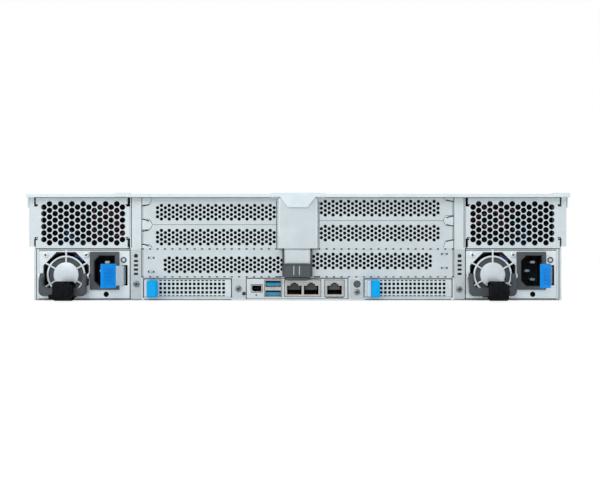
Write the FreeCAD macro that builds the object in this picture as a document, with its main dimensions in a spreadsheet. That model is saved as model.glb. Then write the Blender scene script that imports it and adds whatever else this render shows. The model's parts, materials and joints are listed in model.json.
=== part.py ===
"""A 2U rack server, modelled from its rear face.

The frame: X runs across the server, to the right for someone behind it; Y runs from the rear face to
the front; Z is up.  The origin is the middle of the underside, half way along the chassis.
Sizes are in millimetres.  Every driving size is a cell of the spreadsheet "Sizes", and the sub-parts
are bound to those cells.
"""
import FreeCAD
import Part
import Sketcher
import math
import os
from FreeCAD import Vector

PARTS_FOLDER = "parts"

# ---------------------------------------------------------------------------------------------
# Driving sizes
# ---------------------------------------------------------------------------------------------
SIZES = [
    # chassis
    ("chassis_width", 438.0, "outside width of the upper half of the side walls"),
    ("base_step", 4.0, "how far the lower half of each side wall is set in, for the slide rails"),
    ("step_height", 44.1, "height at which the side walls step out"),
    ("wall_top", 85.2, "height of the side walls"),
    ("chassis_depth", 800.0, "from the rear face to the front face"),
    ("sheet", 1.2, "thickness of the chassis sheet"),
    ("wall_hem", 6.0, "inward hem along the top of each side wall"),
    ("fit_gap", 0.3, "gap between sheets that sit beside each other"),
    ("rail_stud_radius", 3.0, "slide rail stud"),
    ("rail_stud_length", 3.6, "how far a slide rail stud stands out"),
    ("rail_stud_height", 22.0, "height of the slide rail studs"),
    ("rail_stud_spacing", 560.0, "between slide rail studs"),
    ("pillar_slot_width", 3.6, "width of the small slots in each pillar"),
    ("pillar_slot_height", 1.6, "height of those slots"),
    ("pillar_slot_pitch", 3.45, "between those slots"),
    ("pillar_slot_bottom", 20.8, "bottom of the lowest of those slots"),
    ("pillar_hole_height", 36.5, "height of the round hole above those slots"),
    ("pillar_hole_radius", 1.7, "radius of that hole"),
    # rear frame
    ("rear_stile", 4.2, "rear frame beside each power supply, at the outer edge"),
    ("pillar_width", 10.3, "pillar between a power supply and the card slots"),
    ("bay_roof", 42.3, "top of the roof over each power supply bay"),
    ("bay_roof_sheet", 0.9, "thickness of that roof and of the bay walls"),
    ("centre_post", 12.0, "width of the post between the two risers"),
    ("low_window_bottom", 19.5, "bottom of the lower slot windows"),
    ("low_window_top", 41.7, "top of the lower slot windows"),
    ("sill", 1.2, "bottom rail of the rear frame"),
    ("bay_wall_length", 190.0, "length of the walls beside each power supply"),
    # vent panels
    ("vent_pitch", 5.28, "between hole centres in the vent panels"),
    ("vent_hole", 3.6, "width and height of a vent hole"),
    ("vent_long_columns", 7, "columns that hold the larger number of vent holes"),
    ("vent_long_rows", 7, "vent holes in each of those columns"),
    ("vent_height", 62.9, "height of the middle of the vent holes"),
    ("relief_width", 1.4, "width of the relief slits at the panel corners"),
    ("relief_height", 8.0, "height of the relief slits"),
    ("relief_foot", 1.5, "sideways foot of each relief slit"),
    ("vent_lip", 12.0, "depth of the vent panel's lower lip"),
    ("vent_top", 84.6, "top of the vent panels"),
    # card slots
    ("slot_pitch", 20.32, "between neighbouring card slots"),
    ("riser_middle_left", 61.8, "height between the two upper left slots"),
    ("riser_middle_right", 65.1, "height between the two upper right slots"),
    ("low_slot_drop", 32.8, "from the middle of a riser down to its lower slot"),
    ("cover_sheet", 0.9, "thickness of a slot cover"),
    ("cover_top", 85.0, "top of the upper slot covers"),
    ("tail_width", 11.8, "width of a slot cover's tail"),
    ("tail_length", 5.6, "length of a slot cover's tail"),
    ("tail_shoulder", 2.2, "slope between a slot cover and its tail"),
    ("slot_vent_height", 13.0, "height of the openings in a slot cover"),
    ("slot_vent_width", 4.4, "width of the openings in a slot cover"),
    ("slot_vents", 11, "openings in a slot cover"),
    ("slot_field_start", 20.8, "from the centre line to the middle of a slot cover's first opening"),
    ("slot_field_end", 13.6, "from the pillar to the middle of its last opening"),
    ("low_field_shift", 6.3, "how much nearer the centre line a lower cover's openings are"),
    ("cover_tab", 10.0, "depth of the bent tab at the inner end of a slot cover"),
    ("riser_length", 230.0, "length of the riser cages"),
    ("riser_sheet", 1.0, "thickness of the riser cages"),
    # slot bridge and its release lever
    ("bridge_width", 33.0, "width of the bridge over the ends of the slot covers"),
    ("bridge_bottom", 42.5, "bottom of the bridge"),
    ("bridge_top", 83.4, "top of the bridge"),
    ("bridge_depth", 5.5, "how far the bridge stands off the rear face"),
    ("lever_pivot_height", 43.7, "height of the release lever's pin"),
    ("lever_pin_radius", 1.0, "radius of that pin"),
    ("pin_gap", 0.05, "running clearance round a pin, on the radius"),
    ("lever_width", 21.4, "width of the release lever's steel tongue"),
    ("lever_arm", 2.0, "width of each moulded arm beside the tongue"),
    ("lever_arm_half", 1.5, "half the thickness of each arm"),
    ("lever_tongue_drop", 1.3, "gap between the bridge and the tongue"),
    ("grip_top", 30.5, "top of the lever's grip"),
    ("grip_bottom", 16.4, "bottom of the lever's grip"),
    ("grip_depth", 10.0, "how far the grip stands off the rear face"),
    ("grip_clear", 0.8, "gap between the grip and the rear face"),
    ("grip_chamfer", 2.5, "cut along the grip's lower edge"),
    ("grip_groove", 1.0, "width of each of the grip's two grooves"),
    ("grip_groove_spread", 4.8, "between the two grooves"),
    ("grip_groove_end", 3.0, "from the ends of the grooves to the grip's edges"),
    # power supplies
    ("psu_width", 73.5, "width of a power supply"),
    ("psu_height", 39.0, "height of a power supply"),
    ("psu_length", 185.0, "length of a power supply"),
    ("psu_floor", 1.7, "height of a power supply's underside"),
    ("psu_proud", 0.8, "how far its face stands off the rear face"),
    ("psu_face", 1.2, "thickness of its face"),
    ("fan_from_side", 21.8, "from a power supply's left side to its fan's axis"),
    ("fan_height", 19.2, "from its underside to its fan's axis"),
    ("fan_opening", 18.0, "from the fan's axis to the flats of its eight-sided opening"),
    ("fan_chamber", 37.0, "width of the chamber behind the fan's opening"),
    ("fan_chamber_depth", 30.0, "depth of that chamber"),
    ("guard_hub", 9.8, "radius of the guard's disc"),
    ("guard_ring", 13.5, "middle radius of the guard's ring"),
    ("guard_wire", 1.1, "width of the guard's ring and spokes"),
    ("guard_spoke_reach", 1.06, "length of a spoke, as a share of the opening's half width"),
    ("psu_rotor_radius", 17.2, "radius over the blades of a power supply's fan"),
    ("psu_rotor_depth", 15.0, "depth of that fan's rotor"),
    ("psu_rotor_gap", 3.0, "from the face's inside to that rotor"),
    ("tie_from_side", 54.3, "from the left side to the hole for a cable tie"),
    ("tie_height", 3.4, "height of that hole above the underside"),
    ("tie_radius", 2.2, "radius of that hole"),
    ("tie_depth", 6.0, "depth of that hole"),
    ("inlet_from_side", 41.2, "from a power supply's left side to its mains inlet"),
    ("inlet_width", 24.0, "width of the mains inlet's body"),
    ("inlet_height", 31.0, "height of the mains inlet's body"),
    ("inlet_bottom", 7.0, "from the power supply's underside to the inlet's body"),
    ("inlet_depth", 20.0, "depth of the mains inlet's body"),
    ("inlet_proud", 1.4, "how far the mains inlet stands off the face"),
    ("socket_width", 16.8, "width of the inlet's socket"),
    ("socket_height", 24.8, "height of the inlet's socket"),
    ("socket_corner", 4.2, "cut corners of the socket"),
    ("socket_depth", 16.0, "depth of the socket"),
    ("blade_width", 4.0, "width of the inlet's blades"),
    ("blade_thick", 2.0, "thickness of the inlet's blades"),
    ("blade_length", 12.0, "length of the inlet's blades"),
    ("blade_spacing", 14.0, "between the line and neutral blades"),
    ("blade_offset", 1.7, "line and neutral blades, to the right of the socket's middle"),
    ("earth_offset", 2.6, "earth blade, to the left of the socket's middle"),
    ("latch_slot_from_side", 66.9, "from the left side to the latch slot"),
    ("latch_slot_width", 5.0, "width of the latch slot"),
    ("latch_slot_depth", 9.0, "depth of the latch slot"),
    ("latch_height", 15.4, "height of the latch strip"),
    ("latch_bottom", 11.2, "from the underside to the latch strip"),
    ("latch_end_gap", 0.6, "gap above and below the latch strip in its slot"),
    ("latch_seat", 3.1, "from the slot's left side to the middle of the strip"),
    ("latch_straight", 3.0, "straight part of the strip outside the face"),
    ("latch_strip", 0.8, "thickness of the latch strip"),
    ("latch_reach", 19.5, "how far the strip reaches off the face before the pad"),
    ("latch_lean", 5.4, "how far the strip leans over the inlet at the pad"),
    ("latch_pad_reach", 8.4, "how much further the pad reaches off the face"),
    ("latch_pad_lean", 9.1, "how much further the pad leans over the inlet"),
    ("latch_pad", 2.6, "thickness of the latch pad"),
    ("latch_pad_extra", 2.1, "how far the pad passes the strip, above and below"),
    ("handle_from_side", 20.6, "from a power supply's left side to the middle of its handle"),
    ("handle_half", 19.1, "from the middle of the handle to the outside of each leg"),
    ("handle_leg", 3.2, "width of each handle leg"),
    ("handle_reach", 9.5, "how far the hanging handle reaches off the face"),
    ("handle_bar", 6.7, "height of the handle's bar"),
    ("handle_thick", 4.2, "thickness of the handle's bar"),
    ("handle_bottom", 2.2, "from the underside to the handle's bar"),
    ("handle_corner", 3.0, "radius of the handle's lower corners"),
    ("handle_pivot_height", 18.5, "from the underside to the handle's pins"),
    ("handle_pivot_reach", 2.8, "from the face to the handle's pins"),
    ("handle_knuckle", 2.2, "radius of the legs' ends round the pins"),
    ("handle_pin", 1.2, "radius of the handle's pins"),
    ("handle_ear", 1.0, "thickness of the case's ears that hold the pins"),
    ("strap_width", 17.0, "width of the cable strap"),
    ("strap_depth", 28.0, "depth of the rolled strap"),
    ("strap_height", 15.6, "height of the rolled strap"),
    ("strap_bottom", 0.5, "height of the bottom of the rolled strap"),
    ("strap_face_gap", 1.3, "between the rolled strap and the supply's face"),
    # network card bays
    ("card_inner", 54.4, "from the centre line to the inner edge of a network card module's face"),
    ("card_height", 14.1, "height of a network card module's face"),
    ("card_bottom", 3.0, "height of its underside"),
    ("card_length", 115.0, "length of a network card module"),
    ("card_sheet", 1.0, "thickness of its face"),
    ("card_margin", 1.0, "from the slot window's edge to the module"),
    ("card_vent_width", 3.2, "width of the openings in its face"),
    ("card_vent_height", 10.0, "height of the openings in its face"),
    ("card_vents", 11, "openings in its face"),
    ("card_vent_start", 12.9, "from the left edge to the first opening"),
    ("card_vent_end", 3.0, "from the last opening to the right edge"),
    ("card_rim", 1.0, "from the sides of its face to the edge of its board"),
    ("card_board_low", 1.2, "from its underside to its board"),
    ("card_board", 1.6, "thickness of its board"),
    ("tab_start", 1.4, "from its left edge to its pull tab"),
    ("tab_end_gap", 0.6, "above and below the pull tab"),
    ("tab_hook", 6.0, "depth of the pull tab's hooked end"),
    ("tab_reach", 15.0, "how far a pull tab reaches off the face"),
    ("tab_width", 7.0, "width of a pull tab"),
    ("tab_thick", 2.0, "thickness of a pull tab"),
    # connector plate
    ("io_left", -41.7, "left edge of the connector plate"),
    ("io_width", 82.4, "width of the connector plate"),
    ("io_bottom", 1.7, "bottom of the connector plate"),
    ("io_top", 17.7, "top of the connector plate"),
    ("io_sheet", 0.8, "thickness of the connector plate"),
    ("board_top", 3.1, "height of the main board's top"),
    ("board_thick", 1.6, "thickness of the main board"),
    ("board_card_gap", 4.0, "between the main board and the network cards beside it"),
    ("board_end_gap", 6.0, "between the main board's wide parts and what is behind them"),
    ("board_side_gap", 2.0, "between the main board and the side walls and rear wall"),
    ("port_depth", 18.0, "depth of the connectors"),
    ("port_proud", 0.4, "how far the connectors stand out of their plate"),
    ("port_lift", 0.1, "gap between the main board and the connectors"),
    ("port_wall", 0.7, "USB shell beside its openings"),
    ("port_back", 3.0, "wall behind a USB or display opening"),
    ("display_from_left", 8.2, "from the connector plate's left edge to the display port"),
    ("usb_from_left", 21.6, "from that edge to the USB ports"),
    ("lan_from_left", 45.7, "from that edge to the pair of network ports"),
    ("manage_from_left", 71.6, "from that edge to the management port"),
    ("usb_width", 12.5, "width of a USB opening"),
    ("usb_height", 5.1, "height of a USB opening"),
    ("usb_step", 7.6, "between the two USB openings"),
    ("usb_tongue", 1.8, "thickness of a USB tongue"),
    ("usb_tongue_set", 1.5, "from the USB shell's front to its tongue"),
    ("usb_tongue_side", 1.0, "beside a USB tongue"),
    ("usb_rim", 0.5, "below the lower USB opening"),
    ("jack_width", 11.7, "width of a network jack's opening"),
    ("jack_height", 8.4, "height of that opening below its keyway"),
    ("jack_pitch", 13.6, "between the pair of network jacks"),
    ("jack_wall", 2.1, "network jack body beside its opening"),
    ("jack_depth", 13.0, "depth of a network jack's opening"),
    ("keyway_half", 3.0, "half the width of a network jack's keyway"),
    ("keyway_rise", 1.2, "height of that keyway"),
    ("jack_bottom", 5.4, "height of the bottom of a network jack's opening"),
    ("port_top", 16.7, "height of the top of the network port bodies"),
    ("display_width", 8.0, "width of the display port's opening"),
    ("display_height", 5.0, "height of the display port's opening"),
    ("display_middle", 9.8, "height of the display port"),
    ("display_rim", 0.5, "display port's shell round its opening"),
    ("button_radius", 2.6, "radius of the locator button"),
    ("button_across", 48.3, "locator button, from the centre line"),
    ("button_height", 13.4, "height of the locator button"),
    ("button_collar", 1.2, "thickness and overhang of the collars behind both buttons"),
    ("power_radius", 3.6, "radius of the power button"),
    ("power_beside_wing", 7.5, "from the ear's wing to the power button's axis"),
    ("button_travel", 1.0, "travel of the locator and power buttons"),
    ("screw_radius", 2.6, "radius of the rear screws' heads"),
    ("screw_left_height", 13.3, "height of the screw on the left pillar"),
    ("screw_right_height", 9.0, "height of the screw on the right pillar"),
    ("screw_card_height", 9.5, "height of the screw beside the left network card"),
    ("screw_button_height", 6.8, "height of the screw below the locator button"),
    ("screw_head", 1.3, "height of those heads"),
    # inside
    ("heatsink_width", 78.0, "width of a processor heatsink"),
    ("heatsink_length", 110.0, "length of a processor heatsink"),
    ("heatsink_height", 62.0, "height of a processor heatsink"),
    ("heatsink_base", 7.0, "thickness of a heatsink's base"),
    ("heatsink_across", 100.0, "processor heatsinks, from the centre line"),
    ("heatsink_start", 150.0, "from the supply bays to the heatsinks"),
    ("memory_start", 140.0, "from the supply bays to the memory modules"),
    ("heatsink_fins", 12, "fins on each heatsink"),
    ("heatsink_fin", 2.0, "thickness of a heatsink fin"),
    ("memory_pitch", 8.4, "between memory modules"),
    ("memory_thick", 3.2, "thickness of a memory module with its socket"),
    ("memory_height", 34.0, "height of the memory modules"),
    ("memory_length", 133.0, "length of the memory modules"),
    ("duct_top", 74.0, "top of the air duct"),
    ("duct_sheet", 1.6, "thickness of the air duct"),
    ("duct_length", 190.0, "length of the air duct"),
    ("duct_side_gap", 6.0, "between the duct and the side walls"),
    ("duct_fan_gap", 12.0, "between the duct and the fans"),
    ("duct_corner", 12.0, "width of the duct's sloped corners"),
    ("duct_corner_drop", 14.0, "height of the duct's sloped corners"),
    ("fan_size", 78.0, "width and height of a chassis fan"),
    ("fan_depth", 38.0, "depth of a chassis fan"),
    ("fan_bank_spare", 14.0, "space across the chassis that the row of fans leaves free"),
    ("fan_bank_end", 4.0, "fan bracket beyond its outer fans"),
    ("fan_bore", 36.5, "radius of a chassis fan's opening"),
    ("fan_front", 170.0, "front of the chassis fans"),
    ("fan_hub", 16.0, "radius of a chassis fan's hub"),
    ("fan_arm", 3.0, "width and depth of the arm that carries a chassis fan's hub"),
    ("fan_rotor_gap", 0.8, "gap between a chassis fan's rotor and its arm"),
    ("fan_blade_tip", 33.5, "from the axis to the end of a chassis fan's blades"),
    # front
    ("ear_reach", 22.3, "how far each rack ear stands out past the side wall"),
    ("ear_sheet", 2.0, "thickness of a rack ear"),
    ("ear_bottom", 0.6, "height of the bottom of the ears"),
    ("ear_top", 86.6, "height of the top of the ears"),
    ("ear_wing", 48.0, "length of the ear's wing along the side wall"),
    ("rack_hole_inset", 8.75, "from an ear's outer edge to the middle of its holes"),
    ("rack_hole_rise", 76.2, "between the upper and lower rack holes"),
    ("rack_hole_middle", 43.75, "height of the middle of the rack holes"),
    ("rack_hole_radius", 3.4, "half the width of a rack hole's slot"),
    ("rack_hole_length", 10.0, "length of a rack hole's slot"),
    ("carrier_gap", 3.5, "gap between neighbouring drive carriers"),
    ("carrier_side_gap", 1.05, "gap between a carrier and its guides"),
    ("carrier_height", 27.0, "height of a drive carrier"),
    ("carrier_bottom", 3.6, "height of a drive carrier's underside"),
    ("carrier_spare", 4.0, "space across the chassis that the row of carriers leaves free"),
    ("carrier_bezel", 6.0, "depth of a drive carrier's bezel"),
    ("carrier_lever_height", 7.0, "height of a carrier's lever"),
    ("carrier_lever_thick", 3.4, "thickness of a carrier's lever"),
    ("carrier_pin_radius", 1.0, "radius of a carrier lever's pin"),
    ("carrier_rim", 2.2, "rim of a carrier's bezel round its recess and slots"),
    ("carrier_slot_width", 12.0, "width of the air slots in a carrier's bezel"),
    ("carrier_slots", 6, "air slots in a carrier's bezel"),
    ("finger_gap", 9.0, "gap beside the free end of a carrier's lever"),
    ("cage_top", 33.6, "top of the drive cage"),
    ("cage_length", 170.0, "length of the drive cage"),
    ("backplane_gap", 0.4, "between the drive cage and the backplane"),
    ("backplane_thick", 2.0, "thickness of the backplane"),
    ("backplane_side_gap", 4.0, "between the backplane and the side walls"),
    ("backplane_rise", 20.0, "how far the backplane stands above the cage"),
    ("backplane_slot_width", 60.0, "width of the air slots along the backplane's top"),
    ("backplane_slot_height", 9.0, "height of those slots"),
    ("backplane_slot_rise", 4.0, "from the cage's top to those slots"),
    ("intake_top", 84.4, "top of the front intake panel"),
    ("intake_slot_width", 26.0, "width of the openings in the intake panel"),
    ("intake_slot_height", 19.0, "height of the openings in the intake panel"),
    ("intake_spare", 22.0, "width of the intake panel that its openings leave free"),
    ("intake_start", 4.0, "from the drive cage to the lower row of openings"),
    ("intake_slot_rise", 23.0, "between the rows of openings"),
    ("intake_slots", 12, "openings in each row"),
    ("front_cover_length", 172.0, "length of the fixed front cover"),
    # top cover
    ("cover_skin", 1.2, "thickness of the top cover"),
    ("cover_over", 1.4, "how far the cover's side flanges stand outside the walls"),
    ("cover_flange", 9.4, "height of the cover's side flanges"),
    ("rear_lip_reach", 6.2, "how far the cover overhangs the rear face"),
    ("rear_lip_height", 1.6, "height of the cover's rear lip below its skin"),
    ("lip_raise", 0.8, "how far the lip's raised stretches stand up"),
    ("lip_raise_length", 14.0, "length of the raised stretches, along the server"),
    ("lip_pillar_length", 11.7, "width of the raised stretch over the left pillar"),
    ("lip_middle_length", 45.0, "width of the raised stretch over the bridge"),
    ("lip_end_length", 12.4, "width of the raised stretch at the right end"),
    ("lip_rise_low", 1.1, "how far the raised stretches reach down the lip"),
    ("tongue_top", 28.4, "width of the cover's tongue at its root"),
    ("tongue_bottom", 16.0, "width of the cover's tongue at its end"),
    ("tongue_end", 75.8, "height of the end of the cover's tongue"),
    ("latch_plate_width", 62.0, "width of the cover latch"),
    ("latch_plate_length", 48.0, "length of the cover latch"),
    ("latch_plate_thick", 3.6, "thickness of the cover latch"),
    ("latch_tray_depth", 5.6, "depth of the recess round the cover latch"),
    ("latch_tray_rear", 60.0, "rear edge of that recess"),
    ("latch_pin_radius", 1.4, "radius of the cover latch's pins"),
    ("latch_pin_inset", 4.0, "from the front of the recess to those pins"),
    ("latch_rear_gap", 0.6, "gap behind the cover latch"),
    ("latch_grip_length", 14.0, "length of the finger dip in the cover latch"),
    ("latch_grip_start", 4.0, "from the rear edge of the recess to that dip"),
    ("latch_grip_side", 12.4, "from the side of the cover latch to that dip"),
    ("latch_edge", 0.8, "cut along the cover latch's rear edge"),
    ("latch_nose", 1.0, "how much further the latch's rounded front reaches at mid height"),
]


class Size:
    """A length that carries both its value and the spreadsheet expression it comes from."""

    def __init__(self, text, value):
        self.text = text
        self.value = value

    def combine(self, sign, other, value, swapped=False):
        mine, theirs = self.text, expression(other)
        if swapped:
            mine, theirs = theirs, mine
        return Size(f"({mine} {sign} {theirs})", value)

    def __add__(self, other):
        return self.combine("+", other, self.value + number(other))

    def __radd__(self, other):
        return self.combine("+", other, number(other) + self.value, True)

    def __sub__(self, other):
        return self.combine("-", other, self.value - number(other))

    def __rsub__(self, other):
        return self.combine("-", other, number(other) - self.value, True)

    def __mul__(self, other):
        return self.combine("*", other, self.value * number(other))

    def __rmul__(self, other):
        return self.combine("*", other, number(other) * self.value, True)

    def __truediv__(self, other):
        return self.combine("/", other, self.value / number(other))

    def __neg__(self):
        return Size(f"(0 - {self.text})", -self.value)


def number(value):
    return value.value if isinstance(value, Size) else float(value)


def expression(value):
    return value.text if isinstance(value, Size) else f"{value:.6f}"


doc = FreeCAD.newDocument("RackServer")
nodes = {}


class Sheet:
    """The spreadsheet of driving sizes; each alias becomes an attribute that holds a Size."""

    def __init__(self, rows):
        cells = doc.addObject("Spreadsheet::Sheet", "Sizes")
        for row, (alias, value, note) in enumerate(rows, start=1):
            cells.set(f"A{row}", alias)
            cells.set(f"B{row}", str(value))
            cells.setAlias(f"B{row}", alias)
            cells.set(f"C{row}", note)
            setattr(self, alias, Size(f"Sizes.{alias}", value))


s = Sheet(SIZES)
doc.recompute()


def bind(thing, prop, value):
    """Sets a property of an object from a Size, as an expression, or from a plain number."""
    thing.setExpression(prop, expression(value))


def place(thing, x=0, y=0, z=0):
    for letter, value in (("x", x), ("y", y), ("z", z)):
        bind(thing, f"Placement.Base.{letter}", value)


def keep(label, thing):
    """Names an object as a sub-part of the server."""
    thing.Label = label
    nodes[label] = thing
    return thing


# ---------------------------------------------------------------------------------------------
# Ways of making shapes
# ---------------------------------------------------------------------------------------------
def rectangle(u0, u1, v0, v1):
    return [(u0, v0), (u1, v0), (u1, v1), (u0, v1)]


def mirrored(points):
    """The same outline on the other side of the sketch's vertical axis."""
    return [(-u, v) for u, v in reversed(points)]


def sided(side, points):
    return points if side > 0 else mirrored(points)


def draw(sketch, loop):
    """Adds a closed outline, or a circle given as (centre u, centre v, radius), to a sketch."""
    first = sketch.GeometryCount
    if len(loop) == 3 and not isinstance(loop[0], tuple):
        centre = Vector(number(loop[0]), number(loop[1]), 0)
        sketch.addGeometry(Part.Circle(centre, Vector(0, 0, 1), number(loop[2])))
        radius = sketch.addConstraint(Sketcher.Constraint("Radius", first, number(loop[2])))
        bind(sketch, f"Constraints[{radius}]", loop[2])
        pin_point(sketch, first, 3, loop[0], loop[1])
        return
    count = len(loop)
    corners = [Vector(number(u), number(v), 0) for u, v in loop]
    for at in range(count):
        sketch.addGeometry(Part.LineSegment(corners[at], corners[(at + 1) % count]))
    for at in range(count):
        after = first + (at + 1) % count
        sketch.addConstraint(Sketcher.Constraint("Coincident", first + at, 2, after, 1))
    for at, (u, v) in enumerate(loop):
        pin_point(sketch, first + at, 1, u, v)


def pin_point(sketch, geometry, end, u, v):
    """Dimensions one point of a sketch from the sketch's origin."""
    for kind, value in (("DistanceX", u), ("DistanceY", v)):
        at = sketch.addConstraint(Sketcher.Constraint(kind, -1, 1, geometry, end, number(value)))
        bind(sketch, f"Constraints[{at}]", value)


class Piece:
    """A PartDesign body.  Its sketches lie on planes square to an axis, and every pad and pocket
    runs from `start` towards the positive end of that axis."""

    PLANES = {"x": "YZ_Plane", "y": "XZ_Plane", "z": "XY_Plane"}

    def __init__(self, label, x=0, y=0, z=0, kept=True):
        self.body = doc.addObject("PartDesign::Body", label)
        place(self.body, x, y, z)
        if kept:
            keep(label, self.body)

    def sketch(self, axis, start, loops, origin=(0, 0)):
        made = self.body.newObject("Sketcher::SketchObject", f"{self.body.Name}_sketch")
        role = self.PLANES[axis]
        plane = [f for f in self.body.Origin.OriginFeatures if f.Role == role][0]
        made.AttachmentSupport = (plane, [""])
        made.MapMode = "FlatFace"
        offset = -start if axis == "y" else start
        bind(made, "AttachmentOffset.Base.x", origin[0])
        bind(made, "AttachmentOffset.Base.y", origin[1])
        bind(made, "AttachmentOffset.Base.z", offset)
        for loop in loops:
            draw(made, loop)
        return made

    def pad(self, axis, start, length, *loops, origin=(0, 0)):
        made = self.body.newObject("PartDesign::Pad", f"{self.body.Name}_pad")
        made.Profile = self.sketch(axis, start, loops, origin)
        made.Reversed = axis == "y"
        bind(made, "Length", length)
        self.body.Tip = made
        return made

    def pocket(self, axis, start, length, *loops, origin=(0, 0)):
        made = self.body.newObject("PartDesign::Pocket", f"{self.body.Name}_pocket")
        made.Profile = self.sketch(axis, start, loops, origin)
        made.Reversed = axis != "y"
        bind(made, "Length", length)
        self.body.Tip = made
        return made

    def repeat(self, feature, across, count, up=None, rows=1):
        """Repeats a pad or pocket along its sketch's axes, at pitch `across` and then `up`."""
        made = self.body.newObject("PartDesign::LinearPattern", f"{self.body.Name}_pattern")
        made.Originals = [feature]
        sketch = feature.Profile[0]
        made.Direction = (sketch, ["H_Axis"])
        bind(made, "Length", across * (count - 1))
        bind(made, "Occurrences", count)
        if up is not None:
            made.Direction2 = (sketch, ["V_Axis"])
            bind(made, "Length2", up * (rows - 1))
            bind(made, "Occurrences2", rows)
        self.body.Tip = made
        return made

    def turn(self, feature, count):
        """Repeats a pad or pocket all round the origin of its sketch."""
        made = self.body.newObject("PartDesign::PolarPattern", f"{self.body.Name}_wheel")
        made.Originals = [feature]
        made.Axis = (feature.Profile[0], ["N_Axis"])
        made.Angle = 360
        bind(made, "Occurrences", count)
        self.body.Tip = made
        return made

    def round_off(self, radius, wanted):
        """Rounds the edges that `wanted` picks by their middle point and direction."""
        doc.recompute()
        base = self.body.Tip
        names = []
        for at, edge in enumerate(base.Shape.Edges, start=1):
            ends = [vertex.Point for vertex in edge.Vertexes]
            if len(ends) == 2 and wanted((ends[0] + ends[1]) * 0.5, ends[1] - ends[0]):
                names.append(f"Edge{at}")
        made = self.body.newObject("PartDesign::Fillet", f"{self.body.Name}_rounding")
        made.Base = (base, names)
        bind(made, "Radius", radius)
        self.body.Tip = made
        return made


def near(value, size):
    """Whether a coordinate of a finished shape is the place given by a Size."""
    return abs(value - number(size)) < 0.01


def polygon(sides, u, v, across_u, across_v=None):
    """A regular outline with flat sides, measured across its flats; stretched if two are given."""
    across_v = across_u if across_v is None else across_v
    corner = 0.5 / math.cos(math.pi / sides)
    turns = [math.tau * (step + 0.5) / sides for step in range(sides)]
    return [(u + across_u * (corner * math.cos(turn)), v + across_v * (corner * math.sin(turn)))
            for turn in turns]


def box(name, x0, x1, y0, y1, z0, z1):
    made = doc.addObject("Part::Box", name)
    bind(made, "Length", x1 - x0)
    bind(made, "Width", y1 - y0)
    bind(made, "Height", z1 - z0)
    place(made, x0, y0, z0)
    return made


AXIS_TURNS = {"x": (Vector(0, 1, 0), 90), "y": (Vector(1, 0, 0), -90)}


def cylinder(name, axis, radius, x, y, z, length):
    """A cylinder that starts at x, y, z and runs towards the positive end of an axis."""
    made = doc.addObject("Part::Cylinder", name)
    made.Placement.Rotation = FreeCAD.Rotation(*AXIS_TURNS[axis])
    bind(made, "Radius", radius)
    bind(made, "Height", length)
    place(made, x, y, z)
    return made


def join(name, things):
    made = doc.addObject("Part::MultiFuse", name)
    made.Shapes = things
    return made


def group(name, things):
    made = doc.addObject("Part::Compound", name)
    made.Links = things
    return made


def prism(name, axis, radius, x, y, z, length):
    """A many-sided pin that starts at x, y, z and runs towards the positive end of an axis."""
    made = doc.addObject("Part::Prism", name)
    made.Placement.Rotation = FreeCAD.Rotation(*AXIS_TURNS[axis])
    made.Polygon = PIN_SIDES
    bind(made, "Circumradius", radius)
    bind(made, "Height", length)
    place(made, x, y, z)
    return made


# Counts and shares that shape every strap, small pin, guard and fan rotor alike.
STRAP_SIDES = 16
PIN_SIDES = 12
GUARD_SIDES = 16
OPENING_SIDES = 8
GUARD_SPOKES = 6
ROTOR_BLADES = 5
BLADE_SLANT = 0.3
BLADE_THICKNESS = 0.07
BLADE_ROOT = 0.85
BLADE_ENDS = (0.1, 0.9)
CARRIERS = 4
CHASSIS_FANS = 4


# ---------------------------------------------------------------------------------------------
# Places that several pieces share
# ---------------------------------------------------------------------------------------------
rear = -s.chassis_depth / 2
front = s.chassis_depth / 2
half_width = s.chassis_width / 2
half_base = half_width - s.base_step
bay_outer = half_base - s.rear_stile
bay_inner = bay_outer - s.psu_width - 2 * s.fit_gap
slot_outer = bay_inner - s.pillar_width
pillar_middle = (bay_inner + slot_outer) / 2
psu_top = s.psu_floor + s.psu_height
psu_face_y = rear - s.psu_proud
cover_inner_end = s.centre_post / 2 + s.fit_gap
skin_bottom = s.wall_top + s.fit_gap
skin_top = skin_bottom + s.cover_skin
cover_half = half_width + s.cover_over
cover_rear = rear - s.rear_lip_reach
cover_front = front - s.front_cover_length - s.fit_gap
RISERS = {"left": (-1, s.riser_middle_left), "right": (1, s.riser_middle_right)}
ear_edge = half_width + s.ear_reach
power_button_x = half_width + s.ear_sheet + s.power_beside_wing
flange_low = s.wall_top - s.cover_flange
carrier_lever_low = s.carrier_height - s.carrier_lever_height - s.carrier_rim
carrier_pitch = (2 * half_base - s.carrier_spare) / CARRIERS
carrier_width = carrier_pitch - s.carrier_gap
carrier_pivot_x = carrier_width / 2 - s.carrier_rim - s.carrier_lever_thick
carrier_pivot_y = -s.carrier_lever_thick / 2
card_width = slot_outer - s.card_margin - s.card_inner
slot_vent_pitch = (slot_outer - s.slot_field_end - s.slot_field_start) / (s.slot_vents - 1)
fan_pitch = (2 * half_base - s.fan_bank_spare) / CHASSIS_FANS
PSU_LEFT_SIDE = {"left": -(bay_outer - s.fit_gap), "right": bay_inner + s.fit_gap}


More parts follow.
